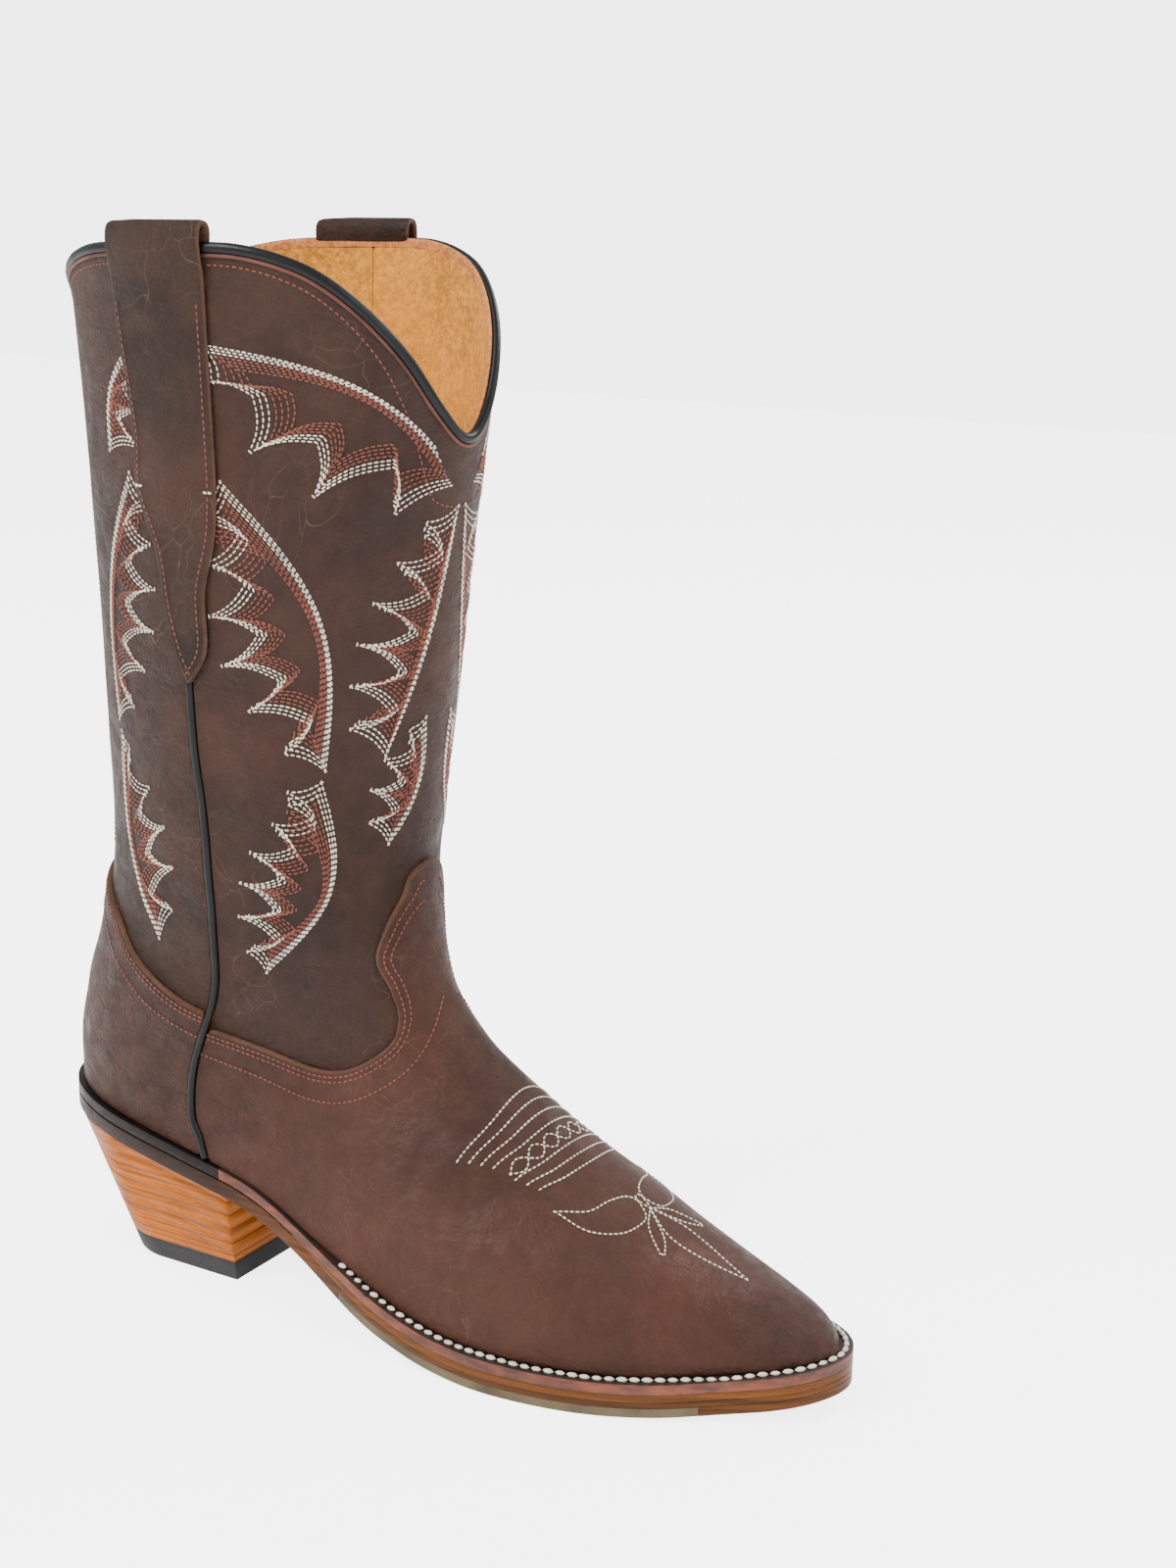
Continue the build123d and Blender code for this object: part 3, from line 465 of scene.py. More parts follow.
def leather_sheet(name, parts, face_depth, back_depth, rough_back=0.0, rows=None):
    """A leather piece between two depths under the skin, with rounded cut edges."""
    rounding = bpy.context.scene.boot_sizes.edge_round / MM
    base, out, inset, faces = cut_from_skin(parts, rounding, rows)
    lift = swell(base)[:, None]
    face = base - out * (face_depth - lift)
    back = base - out * (back_depth - lift)
    if rough_back:
        back = back - out * (rough_back * (ripples(base, 21, 26) + 0.4 * ripples(base, 22, 9)))[:, None]
    edges = rim_edges(faces)
    away = np.zeros_like(base)
    for p, q in edges:
        direction = np.cross(base[q] - base[p], out[p])
        away[p] += direction
        away[q] += direction
    away = unit(away)
    rim = sorted({k for e in edges for k in e})
    rim_number = {k: n for n, k in enumerate(rim)}
    back[rim] += away[rim] * rounding
    bend = base[rim] - out[rim] * (face_depth + rounding * 0.8 - lift[rim]) + away[rim] * rounding
    n = len(base)
    vertices = np.vstack([face, back, bend])
    all_faces = faces + [[k + n for k in reversed(f)] for f in faces]
    for p, q in edges:
        rp, rq = 2 * n + rim_number[p], 2 * n + rim_number[q]
        all_faces.append([q, p, rp, rq])
        all_faces.append([rq, rp, p + n, q + n])
    edge = np.concatenate([inset, np.where(np.isin(np.arange(n), rim), 0, inset), np.zeros(len(rim))])
    back_side = np.concatenate([np.zeros(n), np.ones(n), np.full(len(rim), 0.4)])
    return new_object(name, scaled(vertices), all_faces, {"edge": edge, "back": back_side}, sharp=70)


HALVINGS = 36                # halvings of the search for a point's section


def on_boot(x, z, side):
    """Skin points at side-view places, their outward directions and shares of the way to the front."""
    x, z = np.asarray(x, float), np.asarray(z, float)
    low, high = np.zeros(len(x)), np.full(len(x), float(LAST))
    for _ in range(HALVINGS):
        u = (low + high) / 2
        r = rows_at(u)
        behind = (r[:, 2] - r[:, 0]) * (z - r[:, 1]) - (r[:, 3] - r[:, 1]) * (x - r[:, 0]) < 0
        low = np.where(behind, u, low)
        high = np.where(behind, high, u)
    r = rows_at(u)
    bx, bz = r[:, 2] - r[:, 0], r[:, 3] - r[:, 1]
    along = np.clip(((x - r[:, 0]) * bx + (z - r[:, 1]) * bz) / (bx**2 + bz**2), 0.0005, 0.9995)
    widest = r[:, 6]
    s = np.where(along < widest, np.arccos(np.clip(1 - along / widest, -1, 1)) / math.pi,
                 0.5 + np.arcsin(np.clip((along - widest) / (1 - widest), -1, 1)) / math.pi)
    here = skin(u, s, side)
    step = 1e-3
    down = skin(np.minimum(u + 0.01, LAST), s, side) - skin(np.maximum(u - 0.01, 0), s, side)
    around = skin(u, np.minimum(s + step, 1), side) - skin(u, np.maximum(s - step, 0), side)
    out = unit(np.cross(down, around))
    out *= np.where(out[:, 1:2] * side < 0, -1, 1)
    return here, out, along


# ---------------------------------------------------------------- materials
class Finish:
    """A material and short ways to add its nodes."""

    def __init__(self, name):
        self.material = bpy.data.materials.get(name) or bpy.data.materials.new(name)
        self.material.use_nodes = True
        self.tree = self.material.node_tree
        self.tree.nodes.clear()
        self.output = self.tree.nodes.new("ShaderNodeOutputMaterial")
        self.shader = self.tree.nodes.new("ShaderNodeBsdfPrincipled")
        self.tree.links.new(self.shader.outputs[0], self.output.inputs["Surface"])
        self.coords = self.tree.nodes.new("ShaderNodeTexCoord").outputs["Object"]

    def put(self, socket, value):
        if isinstance(value, bpy.types.NodeSocket):
            self.tree.links.new(value, socket)
        elif isinstance(value, tuple) and len(value) == 3 and socket.type == "RGBA":
            socket.default_value = (*value, 1)
        else:
            socket.default_value = value

    def node(self, kind, out=0, settings=None, **inputs):
        node = self.tree.nodes.new(kind)
        for key, value in (settings or {}).items():
            setattr(node, key, value)
        for key, value in inputs.items():
            by_number = key[0] == "i" and key[1:].isdigit()
            self.put(node.inputs[int(key[1:]) if by_number else key.replace("_", " ")], value)
        return node.outputs[out]

    def moved(self, scale=(1, 1, 1), turn=(0, 0, 0)):
        return self.node("ShaderNodeMapping", Vector=self.coords, Scale=scale, Rotation=turn)

    def noise(self, scale, detail=3.0, rough=0.55, vector=None, warp=0.0):
        return self.node("ShaderNodeTexNoise", Vector=vector or self.coords, Scale=scale, Detail=detail,
                         Roughness=rough, Distortion=warp)

    def strayed(self, vector, scale, detail):
        """A vector pushed about by coloured noise."""
        push = self.node("ShaderNodeTexNoise", out=1, Vector=self.coords, Scale=scale, Detail=detail)
        return self.node("ShaderNodeVectorMath", settings={"operation": "ADD"}, i0=vector, i1=push)

    def cells(self, scale, feature, vector=None):
        return self.node("ShaderNodeTexVoronoi", settings={"feature": feature}, Vector=vector or self.coords,
                         Scale=scale)

    def span(self, value, low, high, new_low=0.0, new_high=1.0):
        return self.node("ShaderNodeMapRange", settings={"interpolation_type": "SMOOTHSTEP"}, Value=value,
                         From_Min=low, From_Max=high, To_Min=new_low, To_Max=new_high)

    def math(self, how, a, b=0.0):
        return self.node("ShaderNodeMath", settings={"operation": how}, i0=a, i1=b)

    def mix(self, share, a, b):
        return self.node("ShaderNodeMix", out=2, settings={"data_type": "RGBA"}, i0=share, i6=a, i7=b)

    def attribute(self, name):
        return self.node("ShaderNodeAttribute", out=2, settings={"attribute_name": name})

    def bump(self, height, strength, distance, below=None):
        lower = {"Normal": below} if below else {}
        return self.node("ShaderNodeBump", Strength=strength, Distance=distance, Height=height, **lower)

    def finish(self, **sockets):
        for key, value in sockets.items():
            self.put(self.shader.inputs[key.replace("_", " ")], value)
        return self.material


def tint(base, factor):
    return tuple(min(1.0, c * factor) for c in base)


def colours():
    return bpy.context.scene.boot_colours


def oiled_leather(name, base, rubbed=1.0, patch=(0.085, 0.024, 0.014)):
    """Oiled pull-up leather: fine grain, lighter creases, scuffs, and pale cut edges."""
    f = Finish(name)
    base = tuple(base)
    pale = tuple(colours().rubbed)
    cloud = f.noise(11, 4, 0.6)
    tone = f.mix(f.span(cloud, 0.35, 0.68), tint(base, 0.5), tint(base, 1.05))
    warm = f.span(f.noise(17, 3, 0.5, f.moved((1, 1, 0.7))), 0.52, 0.75, 0, 0.4)
    tone = f.mix(warm, tone, patch)
    mottled = f.span(f.noise(160, 4, 0.65), 0.38, 0.72, 0, 0.3)
    tone = f.mix(mottled, tone, tint(base, 1.6))
    lines = f.cells(210, "DISTANCE_TO_EDGE", f.strayed(f.moved((1, 1, 2.1)), 90, 2))
    crease = f.math("MULTIPLY", f.span(lines, 0.0, 0.075, 1, 0), f.span(f.noise(28, 3, 0.6), 0.42, 0.62))
    tone = f.mix(f.math("MULTIPLY", crease, 0.6 * rubbed), tone, pale)
    wander = f.strayed(f.moved((1, 1, 0.45), (0.4, 0.3, 0.2)), 5, 5)
    scratch = f.span(f.cells(26, "DISTANCE_TO_EDGE", wander), 0.0, 0.012, 1, 0)
    scratch = f.math("MULTIPLY", scratch, f.span(f.noise(21, 2, 0.5), 0.5, 0.62))
    tone = f.mix(f.math("MULTIPLY", scratch, 0.5 * rubbed), tone, pale)
    edge = f.attribute("edge")
    worn = f.math("MULTIPLY", f.span(edge, 0.05, 1.0, 1, 0), f.span(f.noise(120, 3), 0.3, 0.6, 0.35, 1.0))
    tone = f.mix(f.math("MULTIPLY", worn, 0.42), tone, pale)
    back = f.attribute("back")
    tone = f.mix(f.math("MULTIPLY", back, 0.8), tone, tint(pale, 0.8))
    bump = f.bump(f.cells(950, "SMOOTH_F1"), 0.4, 0.0005)
    bump = f.bump(f.noise(330, 5, 0.65, f.moved((1, 1, 1.6))), 0.6, 0.0009, bump)
    bump = f.bump(f.math("SUBTRACT", 1.0, crease), 0.5, 0.0005, bump)
    bump = f.bump(f.noise(45, 4, 0.6, f.moved((1, 1, 1.7)), 0.6), 0.7, 0.0026, bump)
    rough = f.math("ADD", f.span(f.noise(140, 4, 0.6), 0.3, 0.75, 0.40, 0.60), f.math("MULTIPLY", worn, 0.1))
    return f.finish(Base_Color=tone, Roughness=rough, Normal=bump, Specular_IOR_Level=0.2)


def suede(name, base, fine=1.0):
    """Brushed nap; fine makes it shorter."""
    f = Finish(name)
    base = tuple(base)
    tone = f.mix(f.span(f.noise(24, 4, 0.6), 0.3, 0.7), tint(base, 0.62), tint(base, 1.15))
    tone = f.mix(f.span(f.noise(420 * fine, 4, 0.7), 0.35, 0.7, 0, 0.7), tone, tint(base, 1.75))
    tone = f.mix(f.span(f.noise(900 * fine, 3, 0.7), 0.5, 0.75, 0, 0.6), tone, tint(base, 0.35))
    bump = f.bump(f.noise(800 * fine, 4, 0.7), 0.7, 0.0007)
    bump = f.bump(f.noise(40, 3, 0.6), 0.6, 0.003, bump)
    return f.finish(Base_Color=tone, Roughness=0.93, Normal=bump, Specular_IOR_Level=0.15, Sheen_Weight=0.1,
                    Sheen_Roughness=0.6)


def polished(name, base, rough, coat, grain):
    """Smooth leather or rubber with a faint speckle."""
    f = Finish(name)
    base = tuple(base)
    tone = f.mix(f.span(f.noise(60, 4), 0.3, 0.7), tint(base, 0.7), tint(base, 1.5))
    tone = f.mix(f.span(f.noise(grain, 3, 0.6), 0.6, 0.8, 0, 0.3), tone, tint(base, 1.9))
    bump = f.bump(f.noise(grain, 4, 0.6), 0.25, 0.0004)
    return f.finish(Base_Color=tone, Roughness=f.span(f.noise(90, 3), 0.3, 0.7, rough * 0.85, rough * 1.25),
                    Normal=bump, Specular_IOR_Level=0.25, Coat_Weight=coat, Coat_Roughness=0.3)


def thread_finish(name, base):
    """Twisted thread."""
    f = Finish(name)
    base = tuple(base)
    ply = f.node("ShaderNodeTexWave", settings={"bands_direction": "DIAGONAL"}, Vector=f.coords, Scale=700,
                 Distortion=1.5, Detail=1)
    tone = f.mix(f.span(f.noise(90, 3), 0.3, 0.7), tint(base, 0.78), tint(base, 1.08))
    tone = f.mix(f.math("MULTIPLY", ply, 0.25), tone, tint(base, 0.55))
    return f.finish(Base_Color=tone, Roughness=0.6, Normal=f.bump(ply, 0.3, 0.0003), Sheen_Weight=0.2)


INK = (0.012, 0.0055, 0.004)


def inked(f, tone, share, amount):
    """Blackens a tone where share is high."""
    return f.mix(f.math("MULTIPLY", share, amount), tone, INK)


def welt_finish(name, base):
    """Welt leather: inked black on top, red-brown with dark flecks on its trimmed edge."""
    f = Finish(name)
    base = tuple(base)
    facing = f.node("ShaderNodeSeparateXYZ", out=2, Vector=f.node("ShaderNodeNewGeometry", out="Normal"))
    flecks = f.span(f.noise(260, 4, 0.65, f.moved((0.3, 0.3, 1))), 0.35, 0.7)
    tone = f.mix(flecks, tint(base, 0.4), tint(base, 1.5))
    tone = f.mix(f.span(f.noise(60, 3), 0.5, 0.7, 0, 0.5), tone, (0.24, 0.06, 0.014))
    tone = inked(f, tone, f.span(facing, 0.35, 0.75), 0.93)
    bump = f.bump(f.noise(600, 4, 0.6), 0.5, 0.0005)
    return f.finish(Base_Color=tone, Roughness=0.5, Normal=bump)


def layered_leather(name, base, dark=0.45, black_behind=None):
    """Burnished edge of stacked leather: fine lines along the seat's slope, inked behind a given X."""
    f = Finish(name)
    base = tuple(base)
    slope = f.moved((0.008, 0.008, 1), (0, math.radians(-8.5), 0))
    lines = f.noise(900, 3, 0.55, slope)
    tone = f.mix(f.span(lines, 0.32, 0.7), tint(base, dark), tint(base, 1.25))
    tone = f.mix(f.span(f.noise(34, 4, 0.6), 0.4, 0.75, 0, 0.6), tone, tint(base, 0.5))
    tone = f.mix(f.span(f.noise(520, 2, 0.5, f.moved((1, 1, 3))), 0.66, 0.74, 0, 0.7), tone, tint(base, 0.2))
    if black_behind is not None:
        along = f.node("ShaderNodeSeparateXYZ", Vector=f.coords)
        tone = inked(f, tone, f.span(along, black_behind - 0.012, black_behind + 0.022, 1, 0), 0.88)
    bump = f.bump(lines, 0.35, 0.0005)
    return f.finish(Base_Color=tone, Roughness=f.span(f.noise(120, 3), 0.3, 0.7, 0.34, 0.5), Normal=bump,
                    Specular_IOR_Level=0.2)


def plain_finish(name, base, rough=0.8, grain=300, bump=0.4, metallic=0.0):
    """One colour with a grain, for rubber and for what lies inside."""
    f = Finish(name)
    tone = f.mix(f.span(f.noise(grain, 5, 0.65), 0.3, 0.7), tint(base, 0.6), tint(base, 1.25))
    tone = f.mix(f.span(f.noise(grain / 9, 3), 0.35, 0.7, 0, 0.5), tone, tint(base, 0.7))
    relief = f.bump(f.noise(grain * 2, 4, 0.6), bump, 0.0006)
    return f.finish(Base_Color=tone, Roughness=rough, Normal=relief, Metallic=metallic)


def studio_floor(base):
    """White floor that looks brighter to the camera than it is to the boot."""
    f = Finish("studio floor")
    glow = f.math("ADD", 0.75, f.math("MULTIPLY", f.node("ShaderNodeLightPath"), 3.2))
    return f.finish(Base_Color=f.mix(f.noise(700, 2), tint(base, 0.99), base), Roughness=0.7,
                    Specular_IOR_Level=0.2, Emission_Color=(1, 1, 1), Emission_Strength=glow)


FINISHES = {}


def finish_of(name):
    """Each finish is made once, from the colours in the panel."""
    if not FINISHES:
        c = colours()
        FINISHES.update({
            "shaft_leather": oiled_leather("shaft leather", c.shaft),
            "foot_leather": oiled_leather("foot leather", c.foot, 0.8, (0.085, 0.026, 0.016)),
            "strap_leather": oiled_leather("strap leather", c.strap, 1.2, (0.085, 0.030, 0.018)),
            "piping": polished("piping leather", c.piping, 0.38, 0.0, 420),
            "fold": polished("folded edge", (0.085, 0.030, 0.020), 0.5, 0.0, 420),
            "lining": suede("suede lining", c.lining),
            "raw_edge": suede("raw lining edge", c.raw_edge, 1.4),
            "cream": thread_finish("cream thread", c.cream),
            "rust": thread_finish("rust thread", c.rust),
            "heel_leather": layered_leather("stacked heel leather", c.heel, 0.62),
            "sole_leather": layered_leather("sole leather edge", c.sole, 0.5, 0.030),
            "midsole_leather": layered_leather("midsole leather edge", tint(c.sole, 1.35), 0.6),
            "welt_leather": welt_finish("welt leather", c.welt),
            "rand_leather": layered_leather("rand leather", (0.008, 0.0034, 0.0022), 0.5),
            "tread_rubber": polished("tread rubber", c.tread, 0.42, 0.1, 700),
            "cap_rubber": plain_finish("cap rubber", (0.008, 0.0075, 0.008), 0.6, 500, 0.35),
            "stiffener": plain_finish("stiffener board", (0.35, 0.30, 0.24)),
            "backing": plain_finish("cotton backing", (0.60, 0.56, 0.48)),
            "insole_leather": plain_finish("insole leather", (0.46, 0.29, 0.16), 0.6, 200),
            "cork": plain_finish("ground cork", (0.45, 0.30, 0.18), 0.9, 500, 0.8),
            "steel": plain_finish("shank steel", (0.55, 0.55, 0.56), 0.35, 90, 0.1, 1.0),
            "peg_wood": plain_finish("peg wood", (0.62, 0.48, 0.28), 0.7, 900),
            "nail_brass": plain_finish("nail brass", (0.62, 0.47, 0.22), 0.35, 400, 0.1, 1.0),
        })
    return FINISHES[name]


def dress(thing, finish, slot, *nodes):
    """Gives a piece its finish, hangs it on the root body and hides the imported nodes that it replaces."""
    thing.data.materials.clear()
    thing.data.materials.append(finish_of(finish))
    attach(thing, "root")
    if nodes:
        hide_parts(*nodes)
    return thing


# ---------------------------------------------------------------- sweeps, strips and stitches
def tangents(path, closed=False):
    if closed:
        return unit(np.roll(path, -1, axis=0) - np.roll(path, 1, axis=0))
    return unit(np.gradient(path, axis=0))


def ring_faces(n, m, closed=False):
    """Faces of a tube of n rings with m points each, with end caps unless it is closed."""
    faces = []
    for i in range(n if closed else n - 1):
        after = (i + 1) % n
        for j in range(m):
            faces.append([i * m + j, i * m + (j + 1) % m, after * m + (j + 1) % m, after * m + j])
    if not closed:
        faces += [list(range(m)), list(range((n - 1) * m, n * m))[::-1]]
    return faces


def sweep(name, path, out, profile, closed=False, sizes=None):
    """Closed profile of (depth, rise) points carried along a path on the skin."""
    along = tangents(path, closed)
    rise = unit(np.cross(along, out))
    if rise[:, 2].mean() < 0:
        rise = -rise
    sizes = np.ones(len(path)) if sizes is None else sizes
    profile = np.array(profile, float)
    ring = (path[:, None] - out[:, None] * profile[None, :, 0:1] * sizes[:, None, None]
            + rise[:, None] * profile[None, :, 1:2] * sizes[:, None, None])
    thing = new_object(name, scaled(ring.reshape(-1, 3)), ring_faces(*ring.shape[:2], closed), sharp=60)
    face_out(thing)
    return thing


def round_profile(radius, sides, centre=(0, 0)):
    turns = [2 * math.pi * k / sides for k in range(sides)]
    return [(centre[0] + radius * math.cos(t), centre[1] + radius * math.sin(t)) for t in turns]


def trace(area, inset_by):
    """Loop of skin points round the boot where the inset in a side-view area is this."""
    points, normals = chart()
    inset = inset_in(area, points[:, :, 0], points[:, :, 2]) - inset_by
    path, out = [], []
    for j in range(points.shape[1]):
        change = np.nonzero((inset[:-1, j] <= 0) & (inset[1:, j] > 0))[0]
        if len(change):
            i = change[0]
            t = -inset[i, j] / (inset[i + 1, j] - inset[i, j])
            path.append(points[i, j] * (1 - t) + points[i + 1, j] * t)
            out.append(normals[i, j] * (1 - t) + normals[i + 1, j] * t)
    return np.array(path), unit(np.array(out))


def lifted(path, out, depth=0.0):
    """A path on the swollen leather, this deep in it."""
    return path - out * (depth - swell(path)[:, None])


def surface_of(*things):
    """Finds the nearest point on these pieces."""
    vertices, faces = [], []
    for thing in things:
        start = len(vertices)
        vertices += [v.co.copy() for v in thing.data.vertices]
        faces += [[k + start for k in f.vertices] for f in thing.data.polygons]
    return BVHTree.FromPolygons(vertices, faces)


def offset_line(line, distance):
    """A side-view line moved sideways, to its right seen from above the plane."""
    line = np.asarray(line, float)
    t = tangents(line)
    return line + np.stack([t[:, 1], -t[:, 0]], axis=1) * distance


def evenly(path, step):
    """The same path with its points about one step apart."""
    path = np.asarray(path, float)
    run = lengths_along(path)
    n = max(2, int(round(run[-1] / step)) + 1)
    at = np.linspace(0, run[-1], n)
    return np.stack([np.interp(at, run, path[:, k]) for k in range(path.shape[1])], axis=1)


LOOK_FROM, LOOK_WITHIN = 0.002, 0.008       # metres: where a stitch looks for its leather, and how far


class Rows:
    """Rows of stitches: lines of points on the leather with their outward directions."""

    def __init__(self):
        self.vertices, self.ups, self.edges = [], [], []

    def add(self, path, out, surface=None, proud=0.0, metres=False):
        points = path if metres else scaled(path)
        start = len(self.vertices)
        for point, up in zip(points, out):
            place, up = Vector(point), Vector(up)
            if surface:
                hit = surface.find_nearest(place + up * LOOK_FROM)
                if hit[0] is None or (hit[0] - place).length > LOOK_WITHIN:
                    continue
                place, up = hit[0], hit[1]
            self.vertices.append(place + up * proud * MM)
            self.ups.append(up)
        self.edges += [(k, k + 1) for k in range(start, len(self.vertices) - 1)]


def stitch_tree():
    """Geometry Nodes that lay one stitch after another along every line of a mesh."""
    name = "stitches along a line"
    if name in bpy.data.node_groups:
        return bpy.data.node_groups[name]
    tree = bpy.data.node_groups.new(name, "GeometryNodeTree")
    face = tree.interface
    face.new_socket("Geometry", in_out="INPUT", socket_type="NodeSocketGeometry")
    for label, default in (("Pitch", 0.002), ("Length", 0.0017), ("Width", 0.0006), ("Height", 0.0005),
                           ("Unevenness", 0.08)):
        socket = face.new_socket(label, in_out="INPUT", socket_type="NodeSocketFloat")
        socket.default_value = default
    face.new_socket("Thread", in_out="INPUT", socket_type="NodeSocketMaterial")
    face.new_socket("Geometry", in_out="OUTPUT", socket_type="NodeSocketGeometry")
    add = tree.nodes.new
    given, result = add("NodeGroupInput"), add("NodeGroupOutput")
    curve, spread = add("GeometryNodeMeshToCurve"), add("GeometryNodeResampleCurve")
    spread.mode = "LENGTH"
    up, along = add("GeometryNodeInputNamedAttribute"), add("GeometryNodeInputTangent")
    turn = add("FunctionNodeAxesToRotation")
    up.data_type = "FLOAT_VECTOR"
    up.inputs["Name"].default_value = "up"
    turn.primary_axis, turn.secondary_axis = "Z", "X"
    bead, size = add("GeometryNodeMeshUVSphere"), add("ShaderNodeCombineXYZ")
    whole = add("GeometryNodeInstanceOnPoints")
    bead.inputs["Segments"].default_value = 6
    bead.inputs["Rings"].default_value = 4
    bead.inputs["Radius"].default_value = 0.5
    uneven, scale = add("FunctionNodeRandomValue"), add("ShaderNodeVectorMath")
    less, more = add("ShaderNodeMath"), add("ShaderNodeMath")
    less.operation, more.operation, scale.operation = "SUBTRACT", "ADD", "SCALE"
    less.inputs[0].default_value = more.inputs[0].default_value = 1.0
    uneven.data_type = "FLOAT"
    uneven.inputs["Seed"].default_value = 7
    real, paint = add("GeometryNodeRealizeInstances"), add("GeometryNodeSetMaterial")
    smooth = add("GeometryNodeSetShadeSmooth")
    lowest, highest = [i for i in uneven.inputs if i.type == "VALUE" and i.name in ("Min", "Max")]
    share = [o for o in uneven.outputs if o.type == "VALUE"][0]
    for source, target in (
            (given.outputs["Geometry"], curve.inputs["Mesh"]),
            (curve.outputs["Curve"], spread.inputs["Curve"]),
            (given.outputs["Pitch"], spread.inputs["Length"]),
            (up.outputs["Attribute"], turn.inputs["Primary Axis"]),
            (along.outputs["Tangent"], turn.inputs["Secondary Axis"]),
            (spread.outputs["Curve"], whole.inputs["Points"]),
            (bead.outputs["Mesh"], whole.inputs["Instance"]),
            (turn.outputs["Rotation"], whole.inputs["Rotation"]),
            (given.outputs["Length"], size.inputs[0]), (given.outputs["Width"], size.inputs[1]),
            (given.outputs["Height"], size.inputs[2]),
            (given.outputs["Unevenness"], less.inputs[1]), (given.outputs["Unevenness"], more.inputs[1]),
            (less.outputs[0], lowest), (more.outputs[0], highest),
            (size.outputs[0], scale.inputs[0]), (share, scale.inputs["Scale"]),
            (scale.outputs[0], whole.inputs["Scale"]), (whole.outputs["Instances"], real.inputs["Geometry"]),
            (real.outputs["Geometry"], smooth.inputs["Geometry"]),
            (smooth.outputs["Geometry"], paint.inputs["Geometry"]),
            (given.outputs["Thread"], paint.inputs["Material"]),
            (paint.outputs["Geometry"], result.inputs["Geometry"])):
        tree.links.new(source, target)
    return tree


def sew(name, rows, finish, pitch, stitch, width, height, uneven=0.08):
    """Turns rows into a mesh of stitches."""
    mesh = bpy.data.meshes.new(name + ".rows")
    mesh.from_pydata([tuple(v) for v in rows.vertices], rows.edges, [])
    layer = mesh.attributes.new("up", "FLOAT_VECTOR", "POINT")
    layer.data.foreach_set("vector", np.array([tuple(v) for v in rows.ups], dtype=np.float32).ravel())
    guide = bpy.data.objects.new(name + ".rows", mesh)
    bpy.context.scene.collection.objects.link(guide)
    tree = stitch_tree()
    maker = guide.modifiers.new("stitches", "NODES")
    maker.node_group = tree
    values = {"Pitch": pitch, "Length": stitch, "Width": width, "Height": height, "Unevenness": uneven}
    for item in tree.interface.items_tree:
        if item.in_out == "INPUT" and item.name in values:
            maker[item.identifier] = float(values[item.name]) * (1 if item.name == "Unevenness" else MM)
        elif item.in_out == "INPUT" and item.name == "Thread":
            maker[item.identifier] = finish_of(finish)
    bpy.context.view_layer.update()
    graph = bpy.context.evaluated_depsgraph_get()
    made = bpy.data.meshes.new_from_object(guide.evaluated_get(graph), depsgraph=graph)
    made.name = name
    guide.modifiers.remove(maker)
    bpy.data.objects.remove(guide)
    thing = bpy.data.objects.new(name, made)
    bpy.context.scene.collection.objects.link(thing)
    return thing


def thread_piece(name, rows, finish, slot, pitch=None, stitch=0.85, width=None, height=0.8, *nodes):
    sizes = bpy.context.scene.boot_sizes
    pitch = pitch or sizes.stitch / MM
    width = width or sizes.thread / MM
    thing = sew(name, rows, finish, pitch, pitch * stitch, width, width * height)
    return dress(thing, finish, slot, *nodes)


# ---------------------------------------------------------------- pattern areas
HALF_SEAM = PIPING_WIDTH / 2 + GLUE          # side seam to the edge of the outer leathers
TOP_BOUND = shifted(TOP_EDGE, dz=-TOP_ROLL - GLUE)      # top edge of the shaft leathers


INNER_SEAM = 0.15            # half the gap of the linings' side seam


def level(height):
    """A level side-view line across the boot."""
    return [(-FAR, height), (0, height), (FAR - 1, height)]


def areas(name):
    """The side-view areas whose common part a leather piece fills."""
    ahead, behind = beside_seam(HALF_SEAM, True), beside_seam(-HALF_SEAM, False)
    lining_ahead, lining_behind = beside_seam(INNER_SEAM, True), beside_seam(-INNER_SEAM, False)
    seat, top = above(SEAT), below(TOP_BOUND)
    upper_part, lower_part = above(level(LINING_JOIN)), below(level(LINING_JOIN - LINING_GAP))
    return {
        "vamp": [ahead, below(VAMP_EDGE), seat],
        "counter": [behind, below(COUNTER_EDGE), seat],
        "shaft_front": [ahead, above(SHAFT_HEM), top],
        "shaft_back": [behind, above(SHAFT_HEM), top],
        "shaft_lining_front": [lining_ahead, upper_part, top],
        "shaft_lining_back": [lining_behind, upper_part, top],
        "vamp_lining": [lining_ahead, lower_part, seat],
        "counter_lining": [lining_behind, lower_part, seat],
    }[name]


class BOOT_OT_upper(bpy.types.Operator):
    """Cuts and shapes the leathers of shaft, vamp and counter"""
    bl_idname = "boot.upper"
    bl_label = "Upper leathers"

    def execute(self, context):
        for name, face, back, finish in (("shaft_front", SHAFT_FACE, SHAFT_BACK, "shaft_leather"),
                                         ("shaft_back", SHAFT_FACE, SHAFT_BACK, "shaft_leather"),
                                         ("vamp", 0, UPPER, "foot_leather"),
                                         ("counter", 0, UPPER, "foot_leather")):
            dress(leather_sheet(f"leather.{name}", areas(name), face, back), finish, finish, name)
        return {"FINISHED"}


